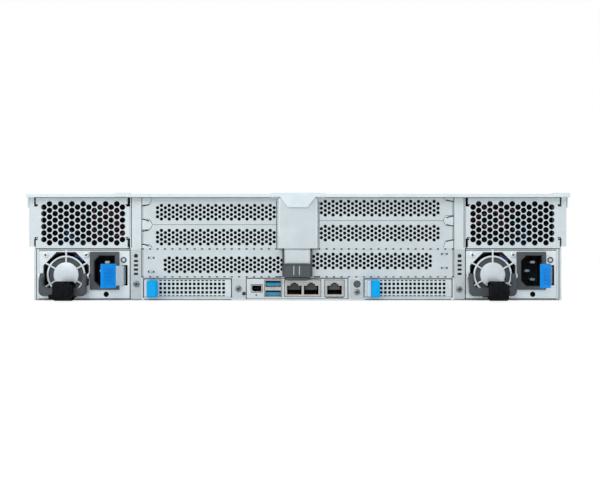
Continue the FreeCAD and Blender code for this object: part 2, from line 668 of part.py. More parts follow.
# ---------------------------------------------------------------------------------------------
# Chassis
# ---------------------------------------------------------------------------------------------
def base_pan():
    """Bottom and side walls, folded from one sheet, with a step out above the rail studs."""
    piece = Piece("base_sheet", kept=False)
    inner, low = half_width - s.sheet, half_base - s.sheet
    right = [
        (half_base, 0),
        (half_base, s.step_height),
        (half_width, s.step_height),
        (half_width, s.wall_top),
        (half_width - s.wall_hem, s.wall_top),
        (half_width - s.wall_hem, s.wall_top - s.sheet),
        (inner, s.wall_top - s.sheet),
        (inner, s.step_height + s.sheet),
        (low, s.step_height + s.sheet),
        (low, s.sheet),
    ]
    piece.pad("y", rear + s.sheet, s.chassis_depth - 2 * s.sheet, right + mirrored(right))
    studs = []
    for side in (-1, 1):
        x = half_base if side > 0 else -(half_base + s.rail_stud_length)
        for step in (-0.5, 0.5):
            name = f"rail_stud_{len(studs) + 1}"
            studs.append(cylinder(name, "x", s.rail_stud_radius, x, s.rail_stud_spacing * step,
                                  s.rail_stud_height, s.rail_stud_length))
    keep("base_pan", join("base_pan_solid", [piece.body] + studs))


def rear_frame():
    """Rear wall: sill, stiles and pillars round the windows, with the walls of both supply bays."""
    piece = Piece("rear_frame")
    outline = [
        (half_base, 0),
        (half_base, s.bay_roof),
        (bay_inner, s.bay_roof),
        (bay_inner, s.wall_top),
        (slot_outer, s.wall_top),
        (slot_outer, s.bay_roof),
        (s.centre_post / 2, s.bay_roof),
        (s.centre_post / 2, s.wall_top),
    ]
    piece.pad("y", rear, s.sheet, outline + mirrored(outline))
    windows = []
    for side in (-1, 1):
        bay = rectangle(bay_inner, bay_outer, s.sill, s.bay_roof - s.bay_roof_sheet)
        slot = rectangle(s.centre_post / 2, slot_outer, s.low_window_bottom, s.low_window_top)
        windows += [sided(side, bay), sided(side, slot)]
    gap = s.fit_gap
    for left in card_left_edges():
        windows.append(rectangle(left - gap, left + card_width + gap,
                                 s.card_bottom - gap, s.card_bottom + s.card_height + gap))
    windows.append(rectangle(s.io_left - gap, s.io_left + s.io_width + gap,
                             s.io_bottom - gap, s.io_top + gap))
    windows.append(polygon(PIN_SIDES, s.button_across, s.button_height, 2 * (s.button_radius + gap)))
    piece.pocket("y", rear, s.sheet, *windows)
    half = s.pillar_slot_width / 2
    for side in (-1, 1):
        x = pillar_middle * side
        slot = rectangle(x - half, x + half,
                         s.pillar_slot_bottom, s.pillar_slot_bottom + s.pillar_slot_height)
        first = piece.pocket("y", rear, s.sheet, slot)
        piece.repeat(first, half, 1, s.pillar_slot_pitch, 4)
        hole = polygon(8, x, s.pillar_hole_height, 2 * s.pillar_hole_radius)
        piece.pocket("y", rear, s.sheet, hole)
    for side, middle in RISERS.values():
        teeth = [sided(side, tooth) for tooth in slot_teeth(middle)]
        piece.pad("y", rear, s.sheet, *teeth)
    bent = [
        (bay_inner - s.bay_roof_sheet, s.sheet),
        (bay_inner, s.sheet),
        (bay_inner, s.bay_roof - s.bay_roof_sheet),
        (bay_outer, s.bay_roof - s.bay_roof_sheet),
        (bay_outer, s.bay_roof),
        (bay_inner - s.bay_roof_sheet, s.bay_roof),
    ]
    for side in (-1, 1):
        piece.pad("y", rear + s.sheet, s.bay_wall_length, sided(side, bent))


def slot_teeth(middle):
    """Teeth of the rear frame that fill the corners round the tails of a riser's slot covers."""
    gap, tail = s.fit_gap, s.tail_width / 2 + s.fit_gap
    lower, upper = middle - s.slot_pitch / 2, middle + s.slot_pitch / 2
    root = slot_outer + s.fit_gap
    shoulder = slot_outer - s.tail_length
    apex = shoulder - s.tail_shoulder
    low = [(root, s.bay_roof - gap), (root, lower - tail), (shoulder, lower - tail),
           (apex, s.bay_roof), (apex, s.bay_roof - gap)]
    between = [(root, lower + tail), (root, upper - tail), (shoulder, upper - tail),
               (apex, middle), (shoulder, lower + tail)]
    high = [(root, upper + tail), (root, s.wall_top), (apex, s.wall_top), (shoulder, upper + tail)]
    return [low, between, high]


def card_left_edges():
    """Left edges of the left and right network card modules."""
    return [-(slot_outer - s.card_margin), s.card_inner]


def vent_panel(name, side):
    """Perforated panel over a power supply, with relief slits at its four corners."""
    piece = Piece(f"vent_panel_{name}")
    inner = bay_inner + s.fit_gap
    outer_slit = half_base
    bottom = s.bay_roof + s.fit_gap
    wing = s.step_height + s.fit_gap
    slit_top = s.vent_top - s.relief_height
    slit_bottom = bottom + s.relief_height
    outline = [
        (inner + s.relief_width, bottom),
        (outer_slit - s.relief_width, bottom),
        (outer_slit - s.relief_width, slit_bottom - s.relief_width),
        (outer_slit - s.relief_width - s.relief_foot, slit_bottom - s.relief_width),
        (outer_slit - s.relief_width - s.relief_foot, slit_bottom),
        (outer_slit, slit_bottom),
        (outer_slit, wing),
        (half_width, wing),
        (half_width, s.vent_top),
        (outer_slit, s.vent_top),
        (outer_slit, slit_top),
        (outer_slit - s.relief_width - s.relief_foot, slit_top),
        (outer_slit - s.relief_width - s.relief_foot, slit_top + s.relief_width),
        (outer_slit - s.relief_width, slit_top + s.relief_width),
        (outer_slit - s.relief_width, s.vent_top),
        (inner + s.relief_width, s.vent_top),
        (inner + s.relief_width, slit_top + s.relief_width),
        (inner + s.relief_width + s.relief_foot, slit_top + s.relief_width),
        (inner + s.relief_width + s.relief_foot, slit_top),
        (inner, slit_top),
        (inner, slit_bottom),
        (inner + s.relief_width + s.relief_foot, slit_bottom),
        (inner + s.relief_width + s.relief_foot, slit_bottom - s.relief_width),
        (inner + s.relief_width, slit_bottom - s.relief_width),
    ]
    piece.pad("y", rear, s.sheet, sided(side, outline))
    lip = rectangle(inner + s.relief_width, outer_slit - s.relief_width, bottom, bottom + s.sheet)
    piece.pad("y", rear + s.sheet, s.vent_lip, sided(side, lip))
    middle = (inner + outer_slit - s.relief_width) / 2
    column = s.vent_pitch * (math.sqrt(3) / 2)
    for columns, rows in ((s.vent_long_columns, s.vent_long_rows),
                          (s.vent_long_columns + 1, s.vent_long_rows - 1)):
        x = middle * side - column * (columns - 1)
        z = s.vent_height - s.vent_pitch * (rows - 1) / 2
        first = piece.pocket("y", rear, s.sheet, polygon(4, x, z, s.vent_hole))
        piece.repeat(first, column * 2, columns, s.vent_pitch, rows)


# ---------------------------------------------------------------------------------------------
# Card slots
# ---------------------------------------------------------------------------------------------
def slot_cover(label, side, bottom, top, middle):
    """Blank over an upper card slot: a perforated plate with a narrow tail at its outer end."""
    piece = Piece(label)
    shoulder = slot_outer - s.fit_gap - s.tail_length
    tail = s.tail_width / 2
    outline = [
        (cover_inner_end, bottom),
        (shoulder - s.tail_shoulder, bottom),
        (shoulder, middle - tail),
        (slot_outer - s.fit_gap, middle - tail),
        (slot_outer - s.fit_gap, middle + tail),
        (shoulder, middle + tail),
        (shoulder - s.tail_shoulder, top),
        (cover_inner_end, top),
    ]
    piece.pad("y", rear, s.cover_sheet, sided(side, outline))
    tab = rectangle(cover_inner_end, cover_inner_end + s.cover_sheet, bottom, top)
    piece.pad("y", rear + s.cover_sheet, s.cover_tab, sided(side, tab))
    slot_openings(piece, side, middle)


def slot_openings(piece, side, middle, shift=0):
    """Row of upright openings, `shift` nearer the centre line than in an upper slot cover."""
    near_end, far_end = s.slot_field_start - shift, slot_outer - s.slot_field_end - shift
    x = near_end if side > 0 else -far_end
    half_w, half_h = s.slot_vent_width / 2, s.slot_vent_height / 2
    opening = rectangle(x - half_w, x + half_w, middle - half_h, middle + half_h)
    first = piece.pocket("y", rear, s.cover_sheet, opening)
    piece.repeat(first, slot_vent_pitch, s.slot_vents)


def low_slot_cover(name, side, middle):
    """Plate over the lower card slot, wider than a slot cover and with no tail."""
    piece = Piece(f"low_slot_cover_{name}")
    plate = rectangle(cover_inner_end, slot_outer - s.fit_gap,
                      s.low_window_bottom + s.fit_gap, s.low_window_top - s.fit_gap)
    piece.pad("y", rear, s.cover_sheet, sided(side, plate))
    tab = rectangle(cover_inner_end, cover_inner_end + s.cover_sheet,
                    s.low_window_bottom + s.fit_gap, s.low_window_top - s.fit_gap)
    piece.pad("y", rear + s.cover_sheet, s.cover_tab, sided(side, tab))
    slot_openings(piece, side, middle, s.low_field_shift)


def card_slots():
    bottom = s.bay_roof + s.fit_gap
    count = 0
    for name, (side, middle) in RISERS.items():
        lower, upper = middle - s.slot_pitch / 2, middle + s.slot_pitch / 2
        for z0, z1, at in ((bottom, middle - s.fit_gap / 2, lower),
                           (middle + s.fit_gap / 2, s.cover_top, upper)):
            count += 1
            slot_cover(f"slot_cover_{count}", side, z0, z1, at)
        low_slot_cover(name, side, middle - s.low_slot_drop)


def riser_cages():
    """Folded sheet behind each pair of upper slots, open to the middle and the top."""
    cages = []
    for name, (side, _) in RISERS.items():
        piece = Piece(f"riser_cage_{name}", kept=False)
        outer = slot_outer + s.riser_sheet + s.fit_gap
        bottom = s.bay_roof + s.fit_gap
        start = rear + s.sheet + s.fit_gap
        angle = [
            (cover_inner_end + s.cover_sheet + s.fit_gap, bottom),
            (outer, bottom),
            (outer, s.cover_top - s.sheet),
            (outer - s.riser_sheet, s.cover_top - s.sheet),
            (outer - s.riser_sheet, bottom + s.riser_sheet),
            (cover_inner_end + s.cover_sheet + s.fit_gap, bottom + s.riser_sheet),
        ]
        piece.pad("y", start, s.riser_length, sided(side, angle))
        cages.append(piece.body)
    keep("riser_cages", group("riser_cage_pair", cages))


# ---------------------------------------------------------------------------------------------
# Slot bridge and release lever
# ---------------------------------------------------------------------------------------------
lever_pivot_y = rear - s.bridge_depth / 2 + s.cover_skin / 2


def slot_bridge():
    """Shallow channel over the inner ends of the slot covers, with the release lever's pin."""
    piece = Piece("bridge_channel", kept=False)
    half = s.bridge_width / 2
    skin = rear - s.bridge_depth
    channel = [
        (-half, skin),
        (half, skin),
        (half, rear),
        (half - s.sheet, rear),
        (half - s.sheet, skin + s.sheet),
        (s.sheet - half, skin + s.sheet),
        (s.sheet - half, rear),
        (-half, rear),
    ]
    piece.pad("z", s.bridge_bottom, s.bridge_top - s.bridge_bottom, channel)
    pin = cylinder("lever_pin", "x", s.lever_pin_radius, s.sheet - half, lever_pivot_y,
                   s.lever_pivot_height, s.bridge_width - 2 * s.sheet)
    keep("slot_bridge", group("slot_bridge_group", [piece.body, pin]))


def slot_lever():
    """Release lever: a moulded grip whose two arms turn on the pin, and a steel tongue on it."""
    half = s.lever_width / 2
    skin = rear - s.bridge_depth
    outer = half + s.lever_arm
    back, front_face = rear - s.grip_clear, rear - s.grip_depth
    cut_corner = s.grip_chamfer
    piece = Piece("lever_moulding", kept=False)
    side_view = [
        (front_face, s.grip_bottom + cut_corner),
        (front_face + cut_corner, s.grip_bottom),
        (back, s.grip_bottom),
        (back, s.grip_top),
        (front_face + cut_corner / 2, s.grip_top),
        (front_face, s.grip_top - cut_corner / 2),
    ]
    piece.pad("x", -outer, 2 * outer, side_view)
    thick = s.lever_arm_half
    top = s.lever_pivot_height
    arm = [
        (lever_pivot_y - thick, s.grip_top - thick),
        (lever_pivot_y + thick, s.grip_top - thick),
        (lever_pivot_y + thick, top + thick / 2),
        (lever_pivot_y + thick / 2, top + thick),
        (lever_pivot_y - thick / 2, top + thick),
        (lever_pivot_y - thick, top + thick / 2),
    ]
    bore = (lever_pivot_y, top, s.lever_pin_radius + s.pin_gap)
    for x in (-outer, half):
        piece.pad("x", x, s.lever_arm, arm, bore)
    for side in (-1, 1):
        x = s.grip_groove_spread / 2 * side - s.grip_groove / 2
        groove = rectangle(x, x + s.grip_groove,
                           s.grip_bottom + s.grip_groove_end, s.grip_top - s.grip_groove_end)
        piece.pocket("y", front_face, s.grip_groove, groove)
    tongue = box("lever_tongue", -half, half, skin, skin + s.sheet,
                 s.grip_top, s.bridge_bottom - s.lever_tongue_drop)
    keep("slot_lever", group("slot_lever_group", [piece.body, tongue]))


# ---------------------------------------------------------------------------------------------
# Connectors
# ---------------------------------------------------------------------------------------------
def jack_outline(x):
    """A network jack's opening, with the stepped keyway for its plug's catch at the top."""
    half = s.jack_width / 2
    shoulder = s.jack_bottom + s.jack_height
    return [
        (x - half, s.jack_bottom),
        (x + half, s.jack_bottom),
        (x + half, shoulder),
        (x + s.keyway_half, shoulder),
        (x + s.keyway_half, shoulder + s.keyway_rise),
        (x - s.keyway_half, shoulder + s.keyway_rise),
        (x - s.keyway_half, shoulder),
        (x - half, shoulder),
    ]


def io_plate():
    """Plate round the connectors, with a window for each."""
    piece = Piece("io_plate")
    plate = rectangle(s.io_left, s.io_left + s.io_width, s.io_bottom, s.io_top)
    piece.pad("y", rear, s.io_sheet, plate)
    low = s.board_top + s.port_lift
    windows = []
    for x, half in ((s.usb_from_left, s.usb_width / 2 + s.port_wall), (s.lan_from_left, lan_half()),
                    (s.manage_from_left, s.jack_width / 2 + s.jack_wall)):
        at = s.io_left + x
        gap = s.fit_gap
        windows.append(rectangle(at - half - gap, at + half + gap, low - gap, s.port_top + gap))
    at = s.io_left + s.display_from_left
    rim = s.display_rim + s.fit_gap
    half_w, half_h = s.display_width / 2 + rim, s.display_height / 2 + rim
    windows.append(rectangle(at - half_w, at + half_w,
                             s.display_middle - half_h, s.display_middle + half_h))
    piece.pocket("y", rear, s.io_sheet, *windows)


def lan_half():
    return s.jack_pitch / 2 + s.jack_width / 2 + s.jack_wall


def ports():
    low = s.board_top + s.port_lift
    start = rear - s.port_proud
    # Two stacked USB ports, each with its tongue.
    x = s.io_left + s.usb_from_left
    half = s.usb_width / 2
    usb = Piece("usb_ports")
    usb.pad("y", start, s.port_depth,
            rectangle(x - half - s.port_wall, x + half + s.port_wall, low, s.port_top))
    first = low + s.usb_rim
    mouths = [rectangle(x - half, x + half, z, z + s.usb_height)
              for z in (first, first + s.usb_step)]
    usb.pocket("y", start, s.port_depth - s.port_back, *mouths)
    middle = s.usb_height / 2
    tongue_half = half - s.usb_tongue_side
    tongues = [rectangle(x - tongue_half, x + tongue_half, z + middle, z + middle + s.usb_tongue)
               for z in (first, first + s.usb_step)]
    usb.pad("y", start + s.usb_tongue_set, s.port_depth - s.port_back - s.usb_tongue_set, *tongues)
    # A pair of network jacks in one body, and the management jack in its own.
    x = s.io_left + s.lan_from_left
    lan = Piece("lan_ports")
    lan.pad("y", start, s.port_depth, rectangle(x - lan_half(), x + lan_half(), low, s.port_top))
    jacks = [jack_outline(x - s.jack_pitch / 2), jack_outline(x + s.jack_pitch / 2)]
    lan.pocket("y", start, s.jack_depth, *jacks)
    x = s.io_left + s.manage_from_left
    half = s.jack_width / 2 + s.jack_wall
    manage = Piece("management_port")
    manage.pad("y", start, s.port_depth, rectangle(x - half, x + half, low, s.port_top))
    manage.pocket("y", start, s.jack_depth, jack_outline(x))
    # The display port, lower at the front than behind the plate.
    x = s.io_left + s.display_from_left
    half_w, half_h = s.display_width / 2, s.display_height / 2
    rim = s.display_rim
    display = Piece("display_port")
    display.pad("y", rear, s.port_depth,
                rectangle(x - half_w - rim, x + half_w + rim,
                          s.display_middle - half_h - rim, s.display_middle + half_h + rim))
    display.pad("y", rear + s.io_sheet + s.fit_gap, s.port_depth - s.io_sheet - s.fit_gap,
                rectangle(x - half_w - rim, x + half_w + rim, low, s.display_middle))
    display.pocket("y", rear, s.port_depth - s.port_back,
                   rectangle(x - half_w, x + half_w,
                             s.display_middle - half_h, s.display_middle + half_h))


def locator_button():
    """Push button through the rear frame, held by a collar behind the sheet."""
    proud = s.button_travel + s.fit_gap
    reach = s.sheet + s.fit_gap + s.button_collar
    stem = prism("locator_stem", "y", s.button_radius, s.button_across, rear - proud,
                    s.button_height, proud + reach)
    half = s.button_radius + s.button_collar
    start = rear + s.sheet + s.fit_gap
    collar = box("locator_collar", s.button_across - half, s.button_across + half,
                 start, start + s.button_collar, s.button_height - half, s.button_height + half)
    keep("locator_button", join("locator_button_solid", [stem, collar]))


def rear_screws():
    """Screw heads on the pillars, beside the left network card and below the locator button."""
    places = [
        (-pillar_middle, s.screw_left_height),
        (pillar_middle, s.screw_right_height),
        (-s.button_across, s.screw_card_height),
        (s.button_across, s.screw_button_height),
    ]
    heads = [prism(f"rear_screw_{at}", "y", s.screw_radius, x, rear - s.screw_head, z, s.screw_head)
             for at, (x, z) in enumerate(places, start=1)]
    keep("rear_screws", group("rear_screw_group", heads))


# ---------------------------------------------------------------------------------------------
# Network card modules
# ---------------------------------------------------------------------------------------------
def card_module(name, left):
    """Slide-in card: a vented face, its board behind, and a pull tab at the left of the face."""
    piece = Piece(f"card_{name}_face", left, rear, s.card_bottom, kept=False)
    piece.pad("y", 0, s.card_sheet, rectangle(0, card_width, 0, s.card_height))
    low = (s.card_height - s.card_vent_height) / 2
    opening = rectangle(s.card_vent_start, s.card_vent_start + s.card_vent_width,
                        low, low + s.card_vent_height)
    first = piece.pocket("y", 0, s.card_sheet, opening)
    span = card_width - s.card_vent_start - s.card_vent_end - s.card_vent_width
    piece.repeat(first, span / (s.card_vents - 1), s.card_vents)
    piece.pad("y", s.card_sheet, s.card_length - s.card_sheet,
              rectangle(s.card_rim, card_width - s.card_rim,
                        s.card_board_low, s.card_board_low + s.card_board))
    tab = Piece(f"card_{name}_tab", left, rear, s.card_bottom, kept=False)
    root, out, wide = s.tab_thick, s.tab_reach, s.tab_thick + s.tab_width
    start, hooked = s.tab_start, s.tab_hook - s.tab_reach
    hook = [
        (start, 0),
        (start + root, 0),
        (start + root, 1.5 * root - out),
        (start + 1.5 * root, 2 * root - out),
        (start + wide - root / 2, hooked + root),
        (start + wide, hooked),
        (start + 2 * root, -out),
        (start + root / 2, -out),
        (start, root - out),
    ]
    tab.pad("z", s.tab_end_gap, s.card_height - 2 * s.tab_end_gap, hook)
    keep(f"network_card_{name}", group(f"network_card_{name}_group", [piece.body, tab.body]))


# ---------------------------------------------------------------------------------------------
# Power supplies
# ---------------------------------------------------------------------------------------------
def psu_case(name, x):
    """Steel case; its face carries the fan guard, the handle's ears and the inlet's opening."""
    piece = Piece(f"psu_{name}_case", x, psu_face_y, s.psu_floor)
    piece.pad("y", 0, s.psu_length, rectangle(0, s.psu_width, 0, s.psu_height))
    fan = (s.fan_from_side, s.fan_height)
    half = s.fan_chamber / 2
    piece.pocket("y", s.psu_face, s.fan_chamber_depth, rectangle(-half, half, -half, half), origin=fan)
    piece.pocket("y", 0, s.psu_face, polygon(OPENING_SIDES, 0, 0, 2 * s.fan_opening), origin=fan)
    wire = s.guard_wire / 2
    ring = [polygon(GUARD_SIDES, 0, 0, 2 * s.guard_ring + s.guard_wire * way) for way in (1, -1)]
    piece.pad("y", 0, s.psu_face, *ring, origin=fan)
    spoke = rectangle(-wire, wire, 0, s.fan_opening * s.guard_spoke_reach)
    spokes = piece.pad("y", 0, s.psu_face, spoke, origin=fan)
    piece.turn(spokes, GUARD_SPOKES)
    piece.pad("y", 0, s.psu_face, polygon(GUARD_SIDES, 0, 0, 2 * s.guard_hub), origin=fan)
    inlet = rectangle(s.inlet_from_side, s.inlet_from_side + s.inlet_width,
                      s.inlet_bottom, s.inlet_bottom + s.inlet_height)
    piece.pocket("y", 0, s.inlet_depth, inlet)
    slot = rectangle(s.latch_slot_from_side, s.latch_slot_from_side + s.latch_slot_width,
                     s.latch_bottom - s.latch_end_gap, s.latch_bottom + s.latch_height + s.latch_end_gap)
    piece.pocket("y", 0, s.latch_slot_depth, slot)
    tie = polygon(OPENING_SIDES, s.tie_from_side, s.tie_height, 2 * s.tie_radius)
    piece.pocket("y", 0, s.tie_depth, tie)
    reach, up, tip = s.handle_pivot_reach, s.handle_pivot_height, s.handle_knuckle
    ear = [
        (0, up - 2 * tip),
        (0, up + 2 * tip),
        (-reach, up + tip),
        (-reach - tip, up + tip / 2),
        (-reach - tip, up - tip / 2),
        (-reach, up - tip),
    ]
    bore = polygon(PIN_SIDES, -reach, up, 2 * (s.handle_pin + s.pin_gap))
    for left in (s.handle_from_side - s.handle_half - s.fit_gap - s.handle_ear,
                 s.handle_from_side + s.handle_half + s.fit_gap):
        piece.pad("x", left, s.handle_ear, ear, bore)


def psu_inlet(name, x):
    """Mains inlet: a moulded body with a socket whose left corners are cut, and three blades."""
    piece = Piece(f"psu_{name}_inlet", x, psu_face_y, s.psu_floor)
    middle = (s.inlet_from_side + s.inlet_width / 2, s.inlet_bottom + s.inlet_height / 2)
    half_w, half_h = s.inlet_width / 2, s.inlet_height / 2
    piece.pad("y", -s.inlet_proud, s.inlet_depth + s.inlet_proud,
              rectangle(-half_w, half_w, -half_h, half_h), origin=middle)
    left, top = -s.socket_width / 2, s.socket_height / 2
    socket = [
        (left, s.socket_corner - top),
        (left + s.socket_corner, -top),
        (-left, -top),
        (-left, top),
        (left + s.socket_corner, top),
        (left, top - s.socket_corner),
    ]
    piece.pocket("y", -s.inlet_proud, s.socket_depth, socket, origin=middle)
    half_w, half_h, apart = s.blade_width / 2, s.blade_thick / 2, s.blade_spacing / 2
    blades = []
    for u, v in ((s.blade_offset, -apart), (s.blade_offset, apart), (-s.earth_offset, 0)):
        blades.append(rectangle(u - half_w, u + half_w, v - half_h, v + half_h))
    start = s.socket_depth - s.inlet_proud - s.blade_length
    piece.pad("y", start, s.blade_length, *blades, origin=middle)


def bladed_rotor(label, hub_radius, tip_radius, depth, x, y, z):
    """Fan rotor: a hub and slanted blades, all round the Y axis."""
    piece = Piece(label, x, y, z)
    piece.pad("y", 0, depth, polygon(OPENING_SIDES, 0, 0, 2 * hub_radius))
    slant, thick = depth * BLADE_SLANT, depth * BLADE_THICKNESS
    root = hub_radius * BLADE_ROOT
    back, tip = (depth * share for share in BLADE_ENDS)
    profile = [
        (-thick - slant, back),
        (thick - slant, back),
        (thick + slant, tip),
        (-thick + slant, tip),
    ]
    blade = piece.pad("z", root, tip_radius - root, profile)
    wheel = piece.body.newObject("PartDesign::PolarPattern", f"{label}_blades")
    wheel.Originals = [blade]
    axis = [f for f in piece.body.Origin.OriginFeatures if f.Role == "Y_Axis"][0]
    wheel.Axis = (axis, [""])
    wheel.Angle = 360
    wheel.Occurrences = ROTOR_BLADES
    piece.body.Tip = wheel


def psu_handle(name, x):
    """Handle that hangs from two pins below the fan and lifts to pull the supply out."""
    piece = Piece(f"psu_{name}_handle", x, psu_face_y, s.psu_floor)
    mid, half, leg = s.handle_from_side, s.handle_half, s.handle_leg
    low, high = s.handle_bottom, s.handle_bottom + s.handle_bar
    bar_back, bar_front = s.handle_thick - s.handle_reach, -s.handle_reach
    pin_y, up, knuckle = -s.handle_pivot_reach, s.handle_pivot_height, s.handle_knuckle
    top, back = up + knuckle, pin_y + knuckle
    loop = [
        (mid - half, low),
        (mid + half, low),
        (mid + half, top),
        (mid + half - leg, top),
        (mid + half - leg, high),
        (mid - half + leg, high),
        (mid - half + leg, top),
        (mid - half, top),
    ]
    piece.pad("y", bar_front, back - bar_front, loop)

    def lower_corner(point, direction):
        outside = near(point.x, mid - half) or near(point.x, mid + half)
        return outside and near(point.z, low) and abs(direction.y) > 1

    piece.round_off(s.handle_corner, lower_corner)
    above = [
        (bar_front, high),
        (pin_y - knuckle, up + knuckle / 2),
        (pin_y - knuckle / 2, top),
        (bar_front, top),
    ]
    behind = [(bar_back, low), (back, low), (back, up - knuckle)]
    crest = [(pin_y + knuckle / 2, top), (back, top), (back, up + knuckle / 2)]
    piece.pocket("x", mid - half, 2 * half, above, behind, crest)
    piece.pocket("x", mid - half + leg, 2 * (half - leg), rectangle(bar_back, back, low, high))
    pin_length = s.fit_gap + s.handle_ear
    for start in (mid - half - pin_length, mid + half):
        piece.pad("x", start, pin_length, polygon(PIN_SIDES, pin_y, up, 2 * s.handle_pin))


def psu_strap(name, x):
    """Hook-and-loop cable strap, rolled up round the handle's bar."""
    piece = Piece(f"psu_{name}_strap", x, psu_face_y, 0)
    gap = s.fit_gap
    near_side, far_side = s.handle_thick - s.handle_reach, -s.handle_reach
    low = s.psu_floor + s.handle_bottom
    roll = polygon(STRAP_SIDES, -s.strap_depth / 2 - s.strap_face_gap,
                   s.strap_bottom + s.strap_height / 2, s.strap_depth, s.strap_height)
    start = s.fan_from_side - s.strap_width / 2
    bar = rectangle(far_side - gap, near_side + gap, low - gap, low + s.handle_bar + gap)
    piece.pad("x", start, s.strap_width, roll, bar)


def psu_latch(name, x):
    """Spring latch: a steel strip out of its slot, bent over the inlet, with a moulded pad."""
    half, thick = s.latch_strip / 2, s.latch_pad / 2
    base = s.latch_slot_from_side + s.latch_seat
    inside = s.latch_slot_depth - s.fit_gap
    lean = base - s.latch_lean
    tip = -s.latch_reach - s.latch_pad_reach
    strip = Piece(f"psu_{name}_latch_strip", x, psu_face_y, s.psu_floor, kept=False)
    bent = [
        (base - half, inside),
        (base - half, -s.latch_straight),
        (lean - half, -s.latch_reach),
        (lean + half, -s.latch_reach),
        (base + half, -s.latch_straight),
        (base + half, inside),
    ]
    strip.pad("z", s.latch_bottom, s.latch_height, bent)
    pad = Piece(f"psu_{name}_latch_pad", x, psu_face_y, s.psu_floor, kept=False)
    end = lean - s.latch_pad_lean
    thumb = [
        (lean - thick, -s.latch_reach),
        (end - thick, tip + thick),
        (end, tip),
        (end + thick, tip),
        (lean + thick, -s.latch_reach),
    ]
    pad.pad("z", s.latch_bottom - s.latch_pad_extra, s.latch_height + 2 * s.latch_pad_extra, thumb)
    keep(f"psu_{name}_latch", group(f"psu_{name}_latch_group", [strip.body, pad.body]))


def power_supplies():
    for name, x in PSU_LEFT_SIDE.items():
        psu_case(name, x)
        psu_inlet(name, x)
        bladed_rotor(f"psu_{name}_rotor", s.guard_hub, s.psu_rotor_radius, s.psu_rotor_depth,
                     x + s.fan_from_side, psu_face_y + s.psu_face + s.psu_rotor_gap,
                     s.psu_floor + s.fan_height)
        psu_handle(name, x)
        psu_strap(name, x)
        psu_latch(name, x)


# ---------------------------------------------------------------------------------------------
# Inside
# ---------------------------------------------------------------------------------------------
def mainboard():
    """Main board: narrow between the network cards, then full width past the power supplies."""
    piece = Piece("mainboard")
    bottom = s.board_top - s.board_thick
    gap = s.board_side_gap
    card_end = rear + s.card_length + s.board_end_gap
    bay_end = rear + s.bay_wall_length + s.board_end_gap + gap
    side = s.card_inner - s.board_card_gap
    half = half_base - s.sheet - gap
    bay_side = bay_inner - s.bay_roof_sheet - gap
    right = [
        (side, rear + gap),
        (side, card_end),
        (bay_side, card_end),
        (bay_side, bay_end),
        (half, bay_end),
        (half, s.fan_front - s.fan_depth - s.board_end_gap),
    ]
    piece.pad("z", bottom, s.board_thick, right + mirrored(right))


def heatsinks():
    """Two processor heatsinks with upright fins."""
    made = []
    start = rear + s.bay_wall_length + s.heatsink_start
    for side in (-1, 1):
        middle = s.heatsink_across * side
        piece = Piece(f"heatsink_{len(made) + 1}", kept=False)
        half = s.heatsink_width / 2
        low = s.board_top + s.fit_gap
        piece.pad("y", start, s.heatsink_length,
                  rectangle(middle - half, middle + half, low, low + s.heatsink_base))
        fin = rectangle(middle - half, middle - half + s.heatsink_fin,
                        low + s.heatsink_base, low + s.heatsink_height)
        first = piece.pad("y", start, s.heatsink_length, fin)
        pitch = (s.heatsink_width - s.heatsink_fin) / (s.heatsink_fins - 1)
        piece.repeat(first, pitch, s.heatsink_fins)
        made.append(piece.body)
    keep("cpu_heatsinks", group("heatsink_pair", made))


def memory_modules():
    """Memory modules in four banks of four, beside the processors."""
    sticks = []
    gap = s.heatsink_width / 2 + s.memory_pitch
    start = rear + s.bay_wall_length + s.memory_start
    for side in (-1, 1):
        for bank in (-1, 1):
            for step in range(4):
                x = s.heatsink_across * side + (gap + s.memory_pitch * step) * bank
                sticks.append(box(f"memory_{len(sticks) + 1}", x - s.memory_thick / 2,
                                  x + s.memory_thick / 2, start, start + s.memory_length,
                                  s.board_top + s.fit_gap, s.board_top + s.memory_height))
    keep("memory_modules", group("memory_group", sticks))


def air_duct():
    """Moulded duct over the processors and memory, open at both ends."""
    piece = Piece("air_duct")
    half = half_base - s.sheet - s.duct_side_gap
    low = s.board_top + s.fit_gap
    corner, drop, wall = s.duct_corner, s.duct_corner_drop, s.duct_sheet
    right = [
        (half, low),
        (half, s.duct_top - drop),
        (half - corner, s.duct_top),
    ]
    inside = [
        (half - corner - wall / 2, s.duct_top - wall),
        (half - wall, s.duct_top - drop - wall / 2),
        (half - wall, low),
    ]
    outline = right + mirrored(right) + mirrored(inside) + inside
    start = s.fan_front - s.fan_depth - s.duct_fan_gap - s.duct_length
    piece.pad("y", start, s.duct_length, outline)


def fan_places():
    middle = (CHASSIS_FANS - 1) / 2
    return [fan_pitch * (step - middle) for step in range(CHASSIS_FANS)]


def chassis_fans():
    """Four fans across the chassis: one bracket of square frames, and a rotor in each."""
    frames = Piece("fan_frames")
    low = s.sheet + s.fit_gap
    middle = low + s.fan_size / 2
    half = s.fan_size / 2
    start = s.fan_front - s.fan_depth
    ends = fan_places()[-1] + half + s.fan_bank_end
    frames.pad("y", start, s.fan_depth, rectangle(-ends, ends, low, low + s.fan_size))
    bore = polygon(GUARD_SIDES, fan_places()[0], middle, 2 * s.fan_bore)
    first = frames.pocket("y", start, s.fan_depth, bore)
    frames.repeat(first, fan_pitch, CHASSIS_FANS)
    reach, half_arm = s.fan_bore + s.fan_arm / 2, s.fan_arm / 2
    arms = [rectangle(x - reach, x + reach, middle - half_arm, middle + half_arm)
            for x in fan_places()]
    frames.pad("y", s.fan_front - s.fan_arm, s.fan_arm, *arms)
    for at, x in enumerate(fan_places(), start=1):
        bladed_rotor(f"fan_rotor_{at}", s.fan_hub, s.fan_blade_tip,
                     s.fan_depth - s.fan_arm - 2 * s.fan_rotor_gap, x, start + s.fan_rotor_gap, middle)


